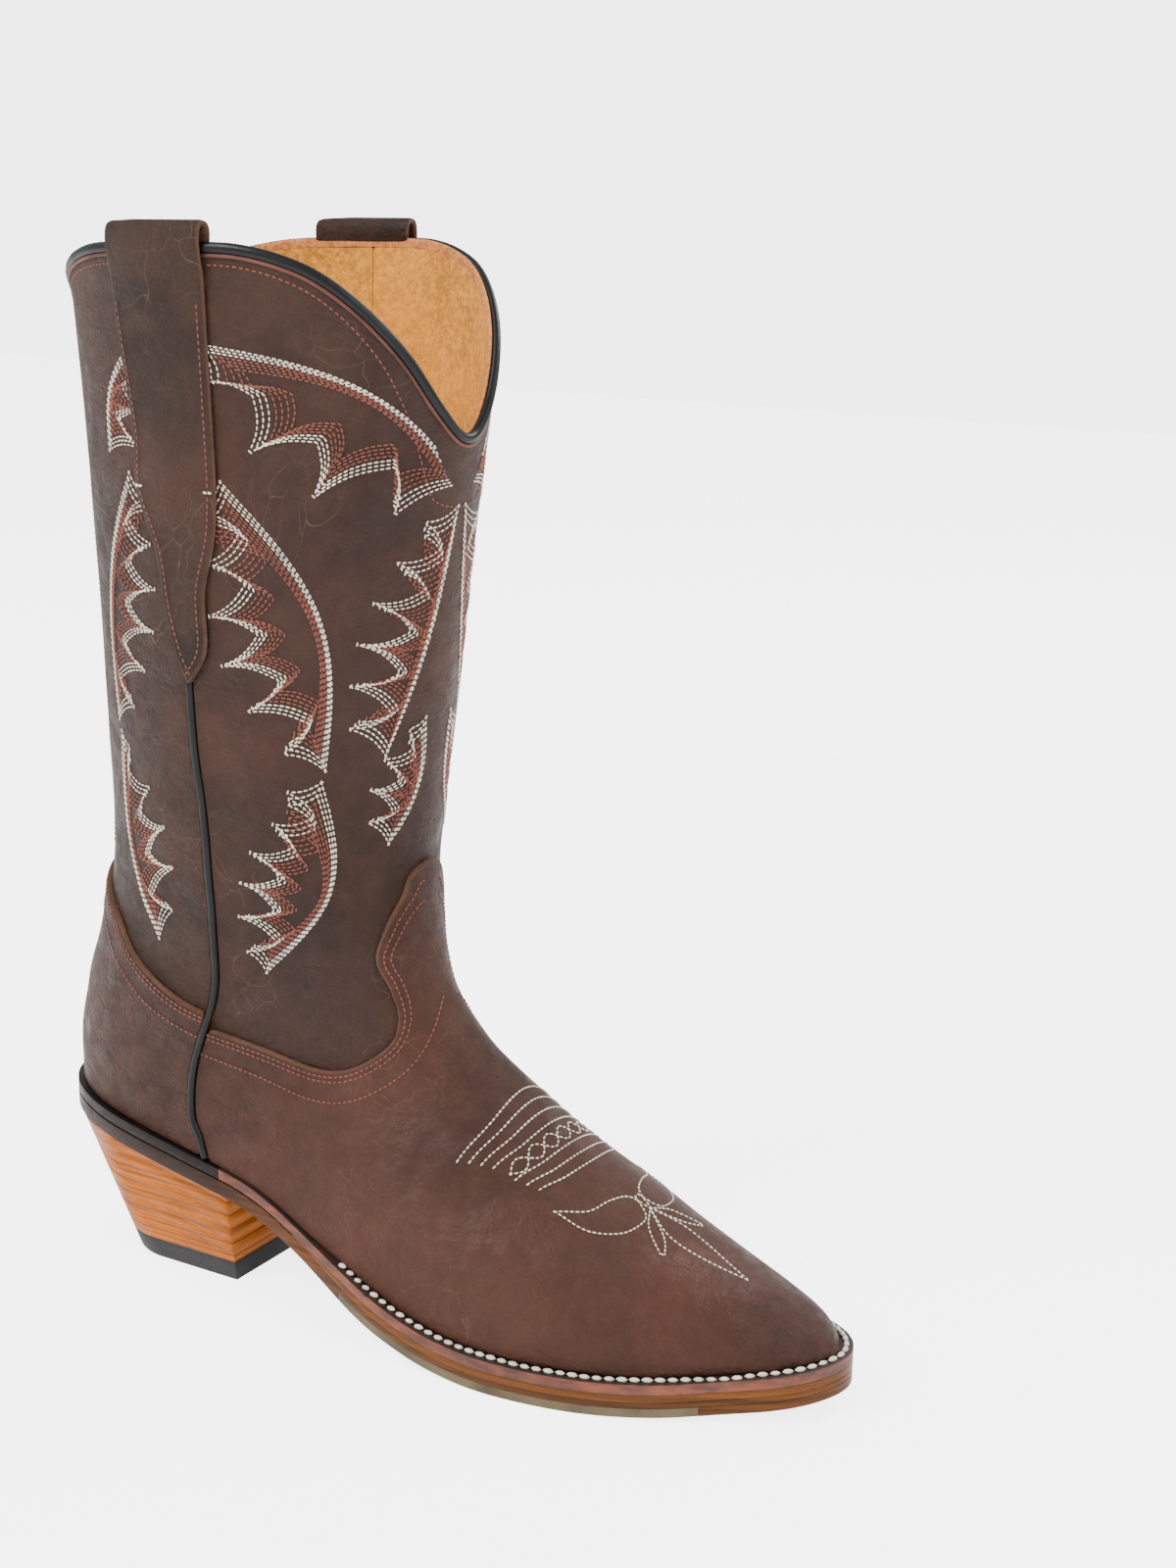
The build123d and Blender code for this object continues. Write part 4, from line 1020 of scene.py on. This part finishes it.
class BOOT_OT_lining(bpy.types.Operator):
    """Makes the suede linings and the lining's raw edge round the top"""
    bl_idname = "boot.lining"
    bl_label = "Linings"

    def execute(self, context):
        depth = len(chart()[0]) - len(TIP) - 14
        for name in ("shaft_lining_front", "shaft_lining_back", "vamp_lining", "counter_lining"):
            thing = leather_sheet(f"suede.{name}", areas(name), LINING_FACE, LINING_BACK, 0.35, depth)
            dress(thing, "lining", "lining", name)
        path, out = trace(below(TOP_EDGE), 0)
        profile = [(3.42, -TOP_ROLL), (3.42, -0.9), (3.6, -0.35), (4.1, -0.2), (4.6, -0.5), (4.75, -1.2),
                   (4.7, -TOP_ROLL)]
        dress(sweep("suede.raw_edge", lifted(path, out), out, profile, True), "raw_edge", "lining")
        return {"FINISHED"}


class BOOT_OT_piping(bpy.types.Operator):
    """Makes the rolled piping of the side seams and the top edge"""
    bl_idname = "boot.piping"
    bl_label = "Piping"

    def execute(self, context):
        for side, name in ((-1, "side_piping_outer"), (1, "side_piping_inner")):
            line = smooth_line(SIDE_SEAM)
            line = evenly(line[(line[:, 1] < 216.5)], 1.6)
            line = line[line[:, 1] > np.interp(line[:, 0], UNDER[:, 0], feather(UNDER[:, 0])) + 0.3]
            path, out, _ = on_boot(line[:, 0], line[:, 1], side)
            depth = 0.15 + (SHAFT_FACE + 0.15) * ramp(line[:, 1], 90, 104)
            path = lifted(path, out, depth[:, None])
            taper = 1 - 0.5 * ramp(line[:, 1], 213, 216.5)
            cord = sweep(f"piping.{name}", path, out, round_profile(PIPING_RADIUS, 14), False, taper)
            dress(cord, "piping", "piping", name)
        path, out = trace(below(TOP_EDGE), 0)
        path = lifted(path, out)
        roll = [(3.35, -3.2), (3.35, -1.2), (3.1, -0.35), (2.5, 0.12), (1.8, 0.15), (1.1, -0.2),
                (0.62, -0.9), (0.5, -1.7), (0.7, -2.5), (1.15, -3.05), (1.8, -3.2)]
        dress(sweep("piping.top", path, out, roll, True), "piping", "piping", "top_piping")
        fold = round_profile(0.62, 10, (SHAFT_FACE - 0.1, -3.75))
        dress(sweep("piping.top_fold", path, out, fold, True), "fold", "shaft_leather")
        return {"FINISHED"}


# Outer and inner line of a strap's loop, as (outwards from the skin, above the top edge).
STRAP_PATH = [(0.0, -14), (0.35, -9), (1.1, -4), (1.5, 0.8), (1.25, 4.2), (0.1, 6.2), (-1.9, 6.6),
              (-3.9, 6.2), (-5.2, 4.4), (-5.45, 1.4), (-4.6, -2.5), (-4.3, -6), (-4.3, -14)]
STRAP_INSIDE = [(-1.6, -14), (-1.3, -9), (-0.5, -4), (-0.15, 0.6), (-0.35, 3.2), (-1.0, 4.6), (-1.95, 5.0),
                (-2.9, 4.6), (-3.6, 3.4), (-3.8, 1.2), (-3.6, -2.5), (-3.42, -6), (-3.42, -14)]


STRAP_PROUD = 0.12           # how far the strap stands off the shaft leather
STRAP_EDGE = 0.35            # how far its outer corners are rounded away
STRAP_ACROSS = np.concatenate([[0.012], np.linspace(0.045, 0.955, 22), [0.988]])
STRAP_HEIGHTS = np.concatenate([np.linspace(214.3, 230, 14), np.linspace(231.5, STRAP_TOP, 66)])
LOOP_STEPS = 46
LOOP_WIDTH = 37.0


def strap_x(z):
    """X across a strap at a height, and its width there."""
    lines = smooth_line(STRAP_BACK), smooth_line(STRAP_FRONT)
    x0, x1 = (np.interp(-z, -line[:, 1], line[:, 0]) for line in lines)
    return x0 + (x1 - x0) * STRAP_ACROSS, x1 - x0


def strap_ring(face, back, normal, slide):
    """One section of a strap: its face, its back and the two rounded edges between them."""
    face[[0, -1]] -= normal[[0, -1]] * STRAP_EDGE
    mid = (face + back) / 2
    return np.vstack([face, mid[-1:] + slide, back[::-1], mid[:1] - slide])


def strap_leg(side):
    """Sections of the part sewn to the shaft, from the tip up, with their widths."""
    rings, widths = [], []
    for z in STRAP_HEIGHTS:
        x, width = strap_x(z)
        path, out, _ = on_boot(x, np.full(len(x), z), side)
        stand = swell(path)[:, None] + STRAP_PROUD
        crown = 0.12 * np.sin(STRAP_ACROSS * math.pi)[:, None]
        slide = unit(path[-1:] - path[:1]) * 0.48
        rings.append(strap_ring(path + out * (stand + crown), path - out * (UPPER - stand), out, slide))
        widths.append(width)
    return rings, widths


def strap_loop(side):
    """Sections of the loop over the top edge, up the outside and down the inside."""
    lines = [evenly(evenly(smooth_line(line, 0.3), 0.5), 0.01) for line in (STRAP_PATH, STRAP_INSIDE)]
    face_line, back_line = (line[np.linspace(0, len(line) - 1, LOOP_STEPS).astype(int)] for line in lines)
    x, _ = strap_x(STRAP_TOP)
    top = np.interp(x, [p[0] for p in TOP_EDGE], [p[1] for p in TOP_EDGE])
    rings = []
    for spots in list(zip(face_line, back_line))[4:]:
        ring = []
        for out_by, rise in spots:
            path, _, _ = on_boot(x, np.minimum(top + rise, top - 0.5), side)
            push = np.zeros_like(path)
            push[:, 1] = side
            spot = path + push * (out_by + STRAP_PROUD) + swell(path)[:, None] * push
            spot[:, 2] = top + rise
            ring.append(spot)
        rings.append(strap_ring(*ring, unit(ring[0] - ring[1]), np.array([[0.48, 0, 0]])))
    return rings


class BOOT_OT_straps(bpy.types.Operator):
    """Makes the pull straps: the leg sewn to the shaft and the loop over the top edge"""
    bl_idname = "boot.straps"
    bl_label = "Pull straps"

    def execute(self, context):
        count = len(STRAP_ACROSS)
        for side, name in ((-1, "pull_strap_outer"), (1, "pull_strap_inner")):
            rings, widths = strap_leg(side)
            loop = strap_loop(side)
            rings = np.array(rings + loop)
            n, m = rings.shape[:2]
            width = np.array(widths + [LOOP_WIDTH] * len(loop))[:, None]
            side_gap = np.minimum(STRAP_ACROSS, 1 - STRAP_ACROSS)[None] * width
            height = np.concatenate([STRAP_HEIGHTS, np.full(len(loop), FAR)])
            face_gap = np.minimum(side_gap, np.abs(height - STRAP_TIP)[:, None])
            edge = np.hstack([face_gap, np.zeros((n, 1)), face_gap[:, ::-1], np.zeros((n, 1))])
            half_back = np.full((n, 1), 0.35)
            is_back = np.hstack([np.zeros((n, count)), half_back, np.ones((n, count)), half_back])
            thing = new_object(f"strap.{name}", scaled(rings.reshape(-1, 3)), ring_faces(n, m),
                               {"edge": edge.ravel(), "back": is_back.ravel()}, 65)
            face_out(thing)
            dress(thing, "strap_leather", "strap_leather", name)
        return {"FINISHED"}


# ---------------------------------------------------------------- sole and heel
def softened(node, width, name):
    """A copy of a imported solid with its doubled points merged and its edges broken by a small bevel."""
    thing = bpy.data.objects.new(name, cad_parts[node].data.copy())
    bpy.context.scene.collection.objects.link(thing)
    shape = bmesh.new()
    shape.from_mesh(thing.data)
    bmesh.ops.remove_doubles(shape, verts=shape.verts, dist=0.00002)
    bmesh.ops.dissolve_degenerate(shape, edges=shape.edges, dist=0.00002)
    if width:
        bevel_from = math.radians(42)
        sharp = [e for e in shape.edges if len(e.link_faces) == 2 and e.calc_face_angle(0) > bevel_from]
        bmesh.ops.bevel(shape, geom=sharp, offset=width * MM, segments=2, profile=0.5, affect="EDGES",
                        clamp_overlap=True)
    shape.to_mesh(thing.data)
    shape.free()
    thing.data.shade_smooth()
    thing.data.set_sharp_from_angle(angle=math.radians(40))
    return thing


# The sole's nodes: finish, and how much their edges are broken.
STACK = {"welt": ("welt_leather", 0.5), "heel_rand": ("rand_leather", 0.5),
         "midsole": ("midsole_leather", 0.3),
         "outsole": ("sole_leather", 0.5), "forepart_rubber": ("tread_rubber", 0.5),
         "toe_piece": ("sole_leather", 0.4), "heel_cap": ("cap_rubber", 0.4),
         **{f"heel_lift_{k}": ("heel_leather", 0.0) for k in range(1, 7)}}


class BOOT_OT_sole(bpy.types.Operator):
    """Finishes welt, rand, midsole, outsole, forepart insert, heel lifts and heel cap"""
    bl_idname = "boot.sole"
    bl_label = "Sole and heel"

    def execute(self, context):
        for node, (finish, width) in STACK.items():
            slot = "welt_leather" if finish == "rand_leather" else finish
            dress(softened(node, width, f"sole.{node}"), finish, slot, node)
        return {"FINISHED"}


HIDDEN = {"toe_puff": "stiffener", "heel_stiffener": "stiffener", "vamp_backing": "backing",
          "insole": "insole_leather", "heel_sock": "lining", "shank": "steel", "cork_filler": "cork",
          "heel_nails": "nail_brass", "waist_pegs": "peg_wood"}


class BOOT_OT_inside(bpy.types.Operator):
    """Gives insole, sock, stiffeners, shank, filler, pegs and nails their materials"""
    bl_idname = "boot.inside"
    bl_label = "Inside parts"

    def execute(self, context):
        for node, finish in HIDDEN.items():
            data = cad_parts[node].data
            data.materials.clear()
            data.materials.append(finish_of(finish))
        return {"FINISHED"}


# ---------------------------------------------------------------- stitching
def piece(name):
    """A piece made by an earlier operator."""
    return bpy.data.objects[name]


def runs(mask, least):
    """Slices of the true stretches of a mask that are at least this long."""
    found, start = [], 0
    for end, kept in enumerate([*mask, False]):
        if not kept:
            if end - start >= least:
                found.append(slice(start, end))
            start = end + 1
    return found


def round_front(line):
    """A side-view line on the outer side, over the front, and back on the inner side."""
    sides = []
    for side in (-1, 1):
        path, out, along = on_boot(line[:, 0], line[:, 1], side)
        keep = along < 0.996
        stop = len(keep) if keep.all() else max(1, int(np.argmin(keep[5:])) + 5)
        keep[stop:] = False
        sides.append((path[keep], out[keep]))
    return (np.vstack([sides[0][0], sides[1][0][::-1]]), np.vstack([sides[0][1], sides[1][1][::-1]]))


TOOTH_BOW = 0.10             # how hollow a tooth's sides are
TOOTH_LEAN = 0.3             # how far its point leans towards the heel of the flame


def flame(tip, heel, bulge, depth, teeth, reach, inset):
    """Outline of a flame in (arc, height): its smooth back and its toothed edge, both from tip to heel."""
    tip, heel = np.array(tip, float), np.array(heel, float)
    way = heel - tip
    size = np.linalg.norm(way)
    way /= size
    side = np.array([way[1], -way[0]]) * math.copysign(1, bulge)
    tip, heel, size = tip + way * inset * 2.1, heel - way * inset * 1.5, size - inset * 3.6
    bulge, reach = abs(bulge) - inset * 0.4, reach * (1 - 0.05 * inset)
    smooth = [tip + way * size * t + side * bulge * math.sin(math.pi * t) for t in np.linspace(0, 1, 60)]
    toothed = []
    for k in range(teeth):
        valley, point = k / teeth, (k + 0.16) / teeth
        for t, out_by in ((valley, 0.0), (point, reach)):
            low = bulge - (depth - 1.5 * inset) * math.sin(math.pi * min(1, 0.1 + 0.8 * t)) ** 0.9
            spot = tip + way * size * t + side * (low if t > 0.03 else 0)
            fade = 0.5 + 0.5 * math.sin(math.pi * (0.12 + 0.76 * t))
            toothed.append(spot - side * out_by * fade + way * out_by * TOOTH_LEAN)
    toothed[0] = tip
    toothed.append(heel)
    full = []
    shares = np.linspace(0, 1, 12, endpoint=False)
    bend = TOOTH_BOW * math.copysign(1, side[0] * way[1] - side[1] * way[0])
    for a, b in zip(toothed, toothed[1:]):
        bow = np.array([b[1] - a[1], a[0] - b[0]]) * bend
        full += [a + (b - a) * t + bow * math.sin(math.pi * t) for t in shares]
    full.append(heel)
    return np.array(smooth), np.array(full)


HALF_ROUND = 163.0           # arc length round half the shaft
SEAM_SHARE = 0.492           # share of it at which the side seam lies


def on_shaft(line, side):
    """Skin points for (arc from the side seam, height) on one side."""
    points, normals = chart()
    column = np.clip(SEAM_SHARE + line[:, 0] / HALF_ROUND, -0.4, 1.4) * COLUMNS
    heights = points[:, int(COLUMNS * 0.6), 2]
    use = int(np.argmin(heights[:len(heights) // 2]))
    row = np.interp(-line[:, 1], -heights[:use], np.arange(use))
    column = column if side < 0 else 2 * COLUMNS - column
    i, j = row.astype(int), np.floor(column).astype(int)
    ti, tj = (row - i)[:, None], (column - j)[:, None]
    n = points.shape[1]

    def blend(grid):
        a, b = grid[i, j % n], grid[i, (j + 1) % n]
        c, d = grid[i + 1, j % n], grid[i + 1, (j + 1) % n]
        return (a * (1 - tj) + b * tj) * (1 - ti) + (c * (1 - tj) + d * tj) * ti

    return blend(points), unit(blend(normals))


# Flames of the decorative stitching: tip and heel as (arc from the side seam, height), the bulge of the
# smooth back, how deep the teeth's roots lie behind it, how many teeth, and how far they reach.
FRONT_FLAMES = [((7, 319), (80, 277), -11, 19, 4, 15), ((14, 278), (45, 188), -13, 18, 6, 14),
                ((81, 270), (63, 192), -3, 7, 6, 15), ((44, 184), (27, 116), -13, 17, 6, 13),
                ((76, 203), (66, 162), -5, 8, 4, 9)]
BACK_FLAMES = [((-17, 278), (-32, 196), 8, 12, 6, 12), ((-31, 192), (-14, 126), 9, 12, 5, 11),
               ((-13, 318), (-26, 284), 5, 8, 3, 11), ((-63, 302), (-59, 212), -7, 11, 6, 11),
               ((-62, 204), (-54, 150), -6, 9, 4, 9)]
CREAM_ROWS = (0.0, 1.1, 2.2)         # insets of the rows from the outline
RUST_ROWS = (3.5, 4.6, 5.7, 6.8)
STITCH_STEP = 0.6            # between the points of a decorative row
FROM_EDGE, FROM_FOOT = 3.5, 0.8      # kept clear along the panel's edges and the foot leather
WIDEST_GAP = 3.0             # a row is broken where its points lie further apart
SHORTEST_RUN = 5             # points


def sew_flame(rows, shape, inset, side, panel_areas, foot_areas, surface):
    """Adds the rows of one flame where they lie on the panel and clear of the foot leather."""
    for line in flame(*shape, inset=inset):
        path, out = on_shaft(evenly(line, STITCH_STEP), side)
        x, z = path[:, 0], path[:, 2]
        clear = np.min([inset_in(a, x, z) for a in panel_areas], axis=0) > FROM_EDGE
        clear &= np.min([inset_in(a, x, z) for a in foot_areas], axis=0) < -FROM_FOOT
        clear[1:] &= np.linalg.norm(np.diff(path, axis=0), axis=1) < WIDEST_GAP
        for run in runs(clear, SHORTEST_RUN):
            rows.add(path[run], out[run], surface, 0.12)


class BOOT_OT_shaft_stitching(bpy.types.Operator):
    """Sews the flame pattern of the shaft in cream and rust thread"""
    bl_idname = "boot.shaft_stitching"
    bl_label = "Shaft stitching"

    def execute(self, context):
        for panel, flames in (("shaft_front", FRONT_FLAMES), ("shaft_back", BACK_FLAMES)):
            surface = surface_of(piece(f"leather.{panel}"))
            panel_areas = areas(panel)
            foot_areas = areas("vamp" if panel == "shaft_front" else "counter")
            for finish, insets in (("cream", CREAM_ROWS), ("rust", RUST_ROWS)):
                rows = Rows()
                for side in (-1, 1):
                    for shape in flames:
                        for inset in insets:
                            sew_flame(rows, shape, inset, side, panel_areas, foot_areas, surface)
                thread_piece(f"stitching.{panel}.{finish}", rows, finish, "thread")
        return {"FINISHED"}


EDGE_ROWS = (1.9, 3.5, 10.0)         # rows beside the edges of vamp and counter
TOP_ROW = 6.6                # row below the top edge
STRAP_SIDES = (5.5, 45.2)    # X between which a strap hides that row
STRAP_ROW = 2.4              # row beside a strap's edge
STRAP_ROW_ENDS = (217.5, 330)
KNOT_HEIGHT = 275
EDGE_PROUD = 0.1             # how far the edge rows stand out


class BOOT_OT_edge_stitching(bpy.types.Operator):
    """Sews the edges of vamp, counter, straps and top in rust thread"""
    bl_idname = "boot.edge_stitching"
    bl_label = "Edge stitching"

    def execute(self, context):
        rows = Rows()
        for line, panel in ((VAMP_EDGE, "vamp"), (COUNTER_EDGE, "counter")):
            surface = surface_of(piece(f"leather.{panel}"))
            clear = areas(panel)[0]
            for distance in EDGE_ROWS:
                moved = evenly(offset_line(smooth_line(line), distance), 0.8)
                moved = moved[inset_in(clear, moved[:, 0], moved[:, 1]) > 0.4]
                if panel == "counter":
                    for side in (-1, 1):
                        path, out, along = on_boot(moved[:, 0], moved[:, 1], side)
                        keep = along > 0.004
                        rows.add(path[keep], out[keep], surface, EDGE_PROUD)
                else:
                    path, out = round_front(moved)
                    rows.add(path, out, surface, EDGE_PROUD)
        thread_piece("stitching.foot_edges", rows, "rust", "thread", 1.9, 0.8, 0.62)
        rows = Rows()
        surface = surface_of(piece("leather.shaft_front"), piece("leather.shaft_back"))
        path, out = trace(below(TOP_EDGE), TOP_ROW)
        keep = np.linalg.norm(np.roll(path, -1, axis=0) - path, axis=1) < 2 * WIDEST_GAP
        path, out = path[keep], out[keep]
        strap = (path[:, 0] > STRAP_SIDES[0]) & (path[:, 0] < STRAP_SIDES[1])
        start = int(np.argmax(strap))
        path, out, strap = (np.roll(v, -start, axis=0) for v in (path, out, strap))
        for run in runs(~strap, 4):
            rows.add(path[run], out[run], surface, EDGE_PROUD)
        thread_piece("stitching.top_edge", rows, "rust", "thread", 2.1, 0.75, 0.55)
        rows, knots = Rows(), Rows()
        back, front = smooth_line(STRAP_BACK), smooth_line(STRAP_FRONT)
        for side, name in ((-1, "pull_strap_outer"), (1, "pull_strap_inner")):
            surface = surface_of(piece(f"strap.{name}"))
            for edge, turn in ((back, -1), (front, 1)):
                line = evenly(offset_line(edge, STRAP_ROW * turn), 0.8)
                line = line[(line[:, 1] > STRAP_ROW_ENDS[0]) & (line[:, 1] < STRAP_ROW_ENDS[1])]
                path, out, _ = on_boot(line[:, 0], line[:, 1], side)
                rows.add(path, out, surface, 0.08)
                for x, z in line[np.abs(line[:, 1] - KNOT_HEIGHT).argsort()[:1]]:
                    path, out, _ = on_boot(np.array([x - 0.8, x + 0.8]), np.array([z, z]), side)
                    knots.add(path, out, surface, 0.15)
        thread_piece("stitching.straps", rows, "rust", "thread", 2.1, 0.75, 0.55)
        thread_piece("stitching.strap_knots", knots, "cream", "thread", 1.6, 1.0, 1.0)
        return {"FINISHED"}


def over_toe(points, surface):
    """Points of the vamp under plan places, with their outward directions."""
    path, out = [], []
    for x, y in evenly(smooth_line(points, 0.8), STITCH_STEP):
        hit = surface.ray_cast(Vector((x * MM, y * MM, 0.2)), Vector((0, 0, -1)))
        if hit[0] is not None:
            path.append(hit[0])
            out.append(hit[1])
    return path, out


INSTEP_ROWS, ROW_SPACE = 7, 3.6      # rows over the instep, and the X between them
FIRST_ROW, FIRST_HALF = 123.5, 31    # X of the first row and half its length
CHAIN_AFTER = 3              # the chain takes the place of a row after this one
CHAIN_X, CHAIN_HALF, CHAIN_SWAY = 138.2, 26, 2.0
# Lines of the toe's spear, as (x, distance from the centre line).
TOE_PETALS = [[(149, 26), (157, 19), (160, 10), (163, 3), (169, 0.2)],
              [(149, 26), (160, 24), (168, 17), (170.5, 9), (169.5, 4), (164, 1)],
              [(169, 0.2), (173, 8), (181, 13.5), (178, 7), (169, 0.2)],
              [(169, 0.2), (178, 4.6), (188, 4.2), (204, 0.2)]]


class BOOT_OT_toe_stitching(bpy.types.Operator):
    """Sews the rows over the instep and the spear on the toe"""
    bl_idname = "boot.toe_stitching"
    bl_label = "Toe stitching"

    def execute(self, context):
        surface = surface_of(piece("leather.vamp"))
        rows = Rows()
        for k in range(INSTEP_ROWS):
            x = FIRST_ROW + ROW_SPACE * k + (ROW_SPACE if k > CHAIN_AFTER else 0)
            half = FIRST_HALF - 1.2 * k
            ends = x - 4.5 - 0.012 * half**2 * 0.3
            line = [(ends, TOE_CENTRE - half), (x - 2.0, TOE_CENTRE - half * 0.6), (x, TOE_CENTRE),
                    (x - 2.0, TOE_CENTRE + half * 0.6), (ends, TOE_CENTRE + half)]
            rows.add(*over_toe(line, surface), metres=True, proud=0.1)
        for phase in (1, -1):
            line = []
            for k in range(49):
                t = k / 48 * 2 - 1
                line.append((CHAIN_X - 5 * t * t * 1.15 + phase * CHAIN_SWAY * math.sin(4 * math.pi * t),
                             TOE_CENTRE + CHAIN_HALF * t))
            rows.add(*over_toe(line, surface), metres=True, proud=0.12)
        for side in (-1, 1):
            for petal in TOE_PETALS:
                line = [(x, TOE_CENTRE + side * y) for x, y in petal]
                rows.add(*over_toe(line, surface), metres=True, proud=0.1)
        thread_piece("stitching.toe", rows, "cream", "thread", 1.75, 0.85, 0.66)
        return {"FINISHED"}


class BOOT_OT_welt_stitching(bpy.types.Operator):
    """Sews the lock stitches along the welt"""
    bl_idname = "boot.welt_stitching"
    bl_label = "Welt stitching"

    def execute(self, context):
        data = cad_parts["welt_thread"].data
        points = np.array([v.co[:] for v in data.vertices])
        top = points[points[:, 2] > feather(points[:, 0] / MM) * MM + 0.0006]
        middle_of = np.array([0.14, 0.006])
        angle = np.arctan2((top[:, 1] - middle_of[1]) * 2.2, top[:, 0] - middle_of[0])
        bins = np.linspace(-math.pi, math.pi, 170)
        path = []
        for low, high in zip(bins, bins[1:]):
            here = top[(angle >= low) & (angle < high)]
            if len(here):
                centre = here.mean(axis=0)
                path.append((math.atan2((centre[1] - middle_of[1]) * 2.2, centre[0] - middle_of[0]), centre))
        ring = np.array([c for _, c in sorted(path, key=lambda p: p[0])])
        ring = evenly(smooth_line(ring[::3] / MM, 1.0), 1.0) * MM
        ring[:, 2] -= 0.0004
        rows = Rows()
        rows.add(ring, np.tile([0.0, 0.0, 1.0], (len(ring), 1)), metres=True)
        pitch = context.scene.boot_sizes.welt_stitch / MM
        thread_piece("stitching.welt", rows, "cream", "thread", pitch, 0.9, 1.9, 0.75, "welt_thread")
        return {"FINISHED"}


# ---------------------------------------------------------------- stage
# Where the camera stands and looks in metres and degrees, and the lamps as (name, place, size, power).
CAMERA_AT = (0.49867, -0.60246, 0.36846)
CAMERA_YAW, CAMERA_PITCH, CAMERA_ROLL = 30.33, 14.49, 1.04
LENS = 53.73
LAMPS = [("key", (-0.7, -1.2, 1.5), 0.8, 46), ("fill", (1.6, -0.3, 1.0), 0.9, 17),
         ("back", (0.6, 1.3, 1.3), 0.9, 20)]


class BOOT_OT_stage(bpy.types.Operator):
    """Sets the floor with its backdrop, the lamps and the camera"""
    bl_idname = "boot.stage"
    bl_label = "Stage"

    def execute(self, context):
        scene = context.scene
        half = scene.boot_sizes.floor / 2
        mesh = bpy.data.meshes.new("floor")
        corners = [(-half, -half, 0), (half, -half, 0), (half, half, 0), (-half, half, 0)]
        mesh.from_pydata(corners, [], [(0, 1, 2, 3)])
        floor = bpy.data.objects.new("floor", mesh)
        scene.collection.objects.link(floor)
        mesh.materials.append(studio_floor(tuple(colours().floor)))
        world = bpy.data.worlds.new("studio")
        scene.world = world
        world.use_nodes = True
        nodes, link = world.node_tree.nodes, world.node_tree.links.new
        light, backdrop = nodes["Background"], nodes.new("ShaderNodeBackground")
        light.inputs["Color"].default_value = (1, 1, 1, 1)
        light.inputs["Strength"].default_value = 0.85
        backdrop.inputs["Strength"].default_value = 5.5
        ray, either = nodes.new("ShaderNodeLightPath"), nodes.new("ShaderNodeMixShader")
        link(ray.outputs["Is Camera Ray"], either.inputs[0])
        link(light.outputs[0], either.inputs[1])
        link(backdrop.outputs[0], either.inputs[2])
        link(either.outputs[0], nodes["World Output"].inputs["Surface"])
        for name, place, size, power in LAMPS:
            lamp = bpy.data.lights.new(name, "AREA")
            lamp.size = size
            lamp.energy = power
            holder = bpy.data.objects.new(name, lamp)
            scene.collection.objects.link(holder)
            holder.location = place
            aim = Vector((0.08, 0, 0.15)) - Vector(place)
            holder.rotation_euler = aim.to_track_quat("-Z", "Y").to_euler()
        yaw, pitch, roll = (math.radians(v) for v in (CAMERA_YAW, CAMERA_PITCH, CAMERA_ROLL))
        ahead = Vector((-math.sin(yaw) * math.cos(pitch), math.cos(yaw) * math.cos(pitch), -math.sin(pitch)))
        right = Vector((math.cos(yaw), math.sin(yaw), 0))
        up = right.cross(ahead)
        right, up = (math.cos(roll) * right + math.sin(roll) * up,
                     math.cos(roll) * up - math.sin(roll) * right)
        camera = bpy.data.objects.new("camera", bpy.data.cameras.new("camera"))
        scene.collection.objects.link(camera)
        turned = Matrix((right, up, -ahead)).transposed().to_4x4()
        camera.matrix_world = Matrix.Translation(CAMERA_AT) @ turned
        camera.data.sensor_width = 36
        camera.data.lens = LENS
        camera.data.clip_start = 0.01
        scene.camera = camera
        return {"FINISHED"}


MAKERS = [BOOT_OT_upper, BOOT_OT_lining, BOOT_OT_piping, BOOT_OT_straps, BOOT_OT_sole, BOOT_OT_inside,
          BOOT_OT_shaft_stitching, BOOT_OT_edge_stitching, BOOT_OT_toe_stitching, BOOT_OT_welt_stitching,
          BOOT_OT_stage]


class BOOT_PT_panel(bpy.types.Panel):
    """Sizes, colours and makers of the boot"""
    bl_idname = "BOOT_PT_panel"
    bl_label = "Western Boot"
    bl_space_type = "VIEW_3D"
    bl_region_type = "UI"
    bl_category = "Western Boot"

    def draw(self, context):
        for group in (context.scene.boot_sizes, context.scene.boot_colours):
            box = self.layout.box()
            for name in group.__annotations__:
                box.prop(group, name)
        for maker in MAKERS:
            self.layout.operator(maker.bl_idname)


CLASSES = [BootSizes, BootColours, *MAKERS, BOOT_PT_panel]


def register():
    for item in CLASSES:
        bpy.utils.register_class(item)
    bpy.types.Scene.boot_sizes = bpy.props.PointerProperty(type=BootSizes)
    bpy.types.Scene.boot_colours = bpy.props.PointerProperty(type=BootColours)


def unregister():
    del bpy.types.Scene.boot_sizes
    del bpy.types.Scene.boot_colours
    for item in reversed(CLASSES):
        bpy.utils.unregister_class(item)


def main():
    register()
    for maker in MAKERS:
        group, name = maker.bl_idname.split(".")
        getattr(getattr(bpy.ops, group), name)()


if __name__ == "__main__":
    main()
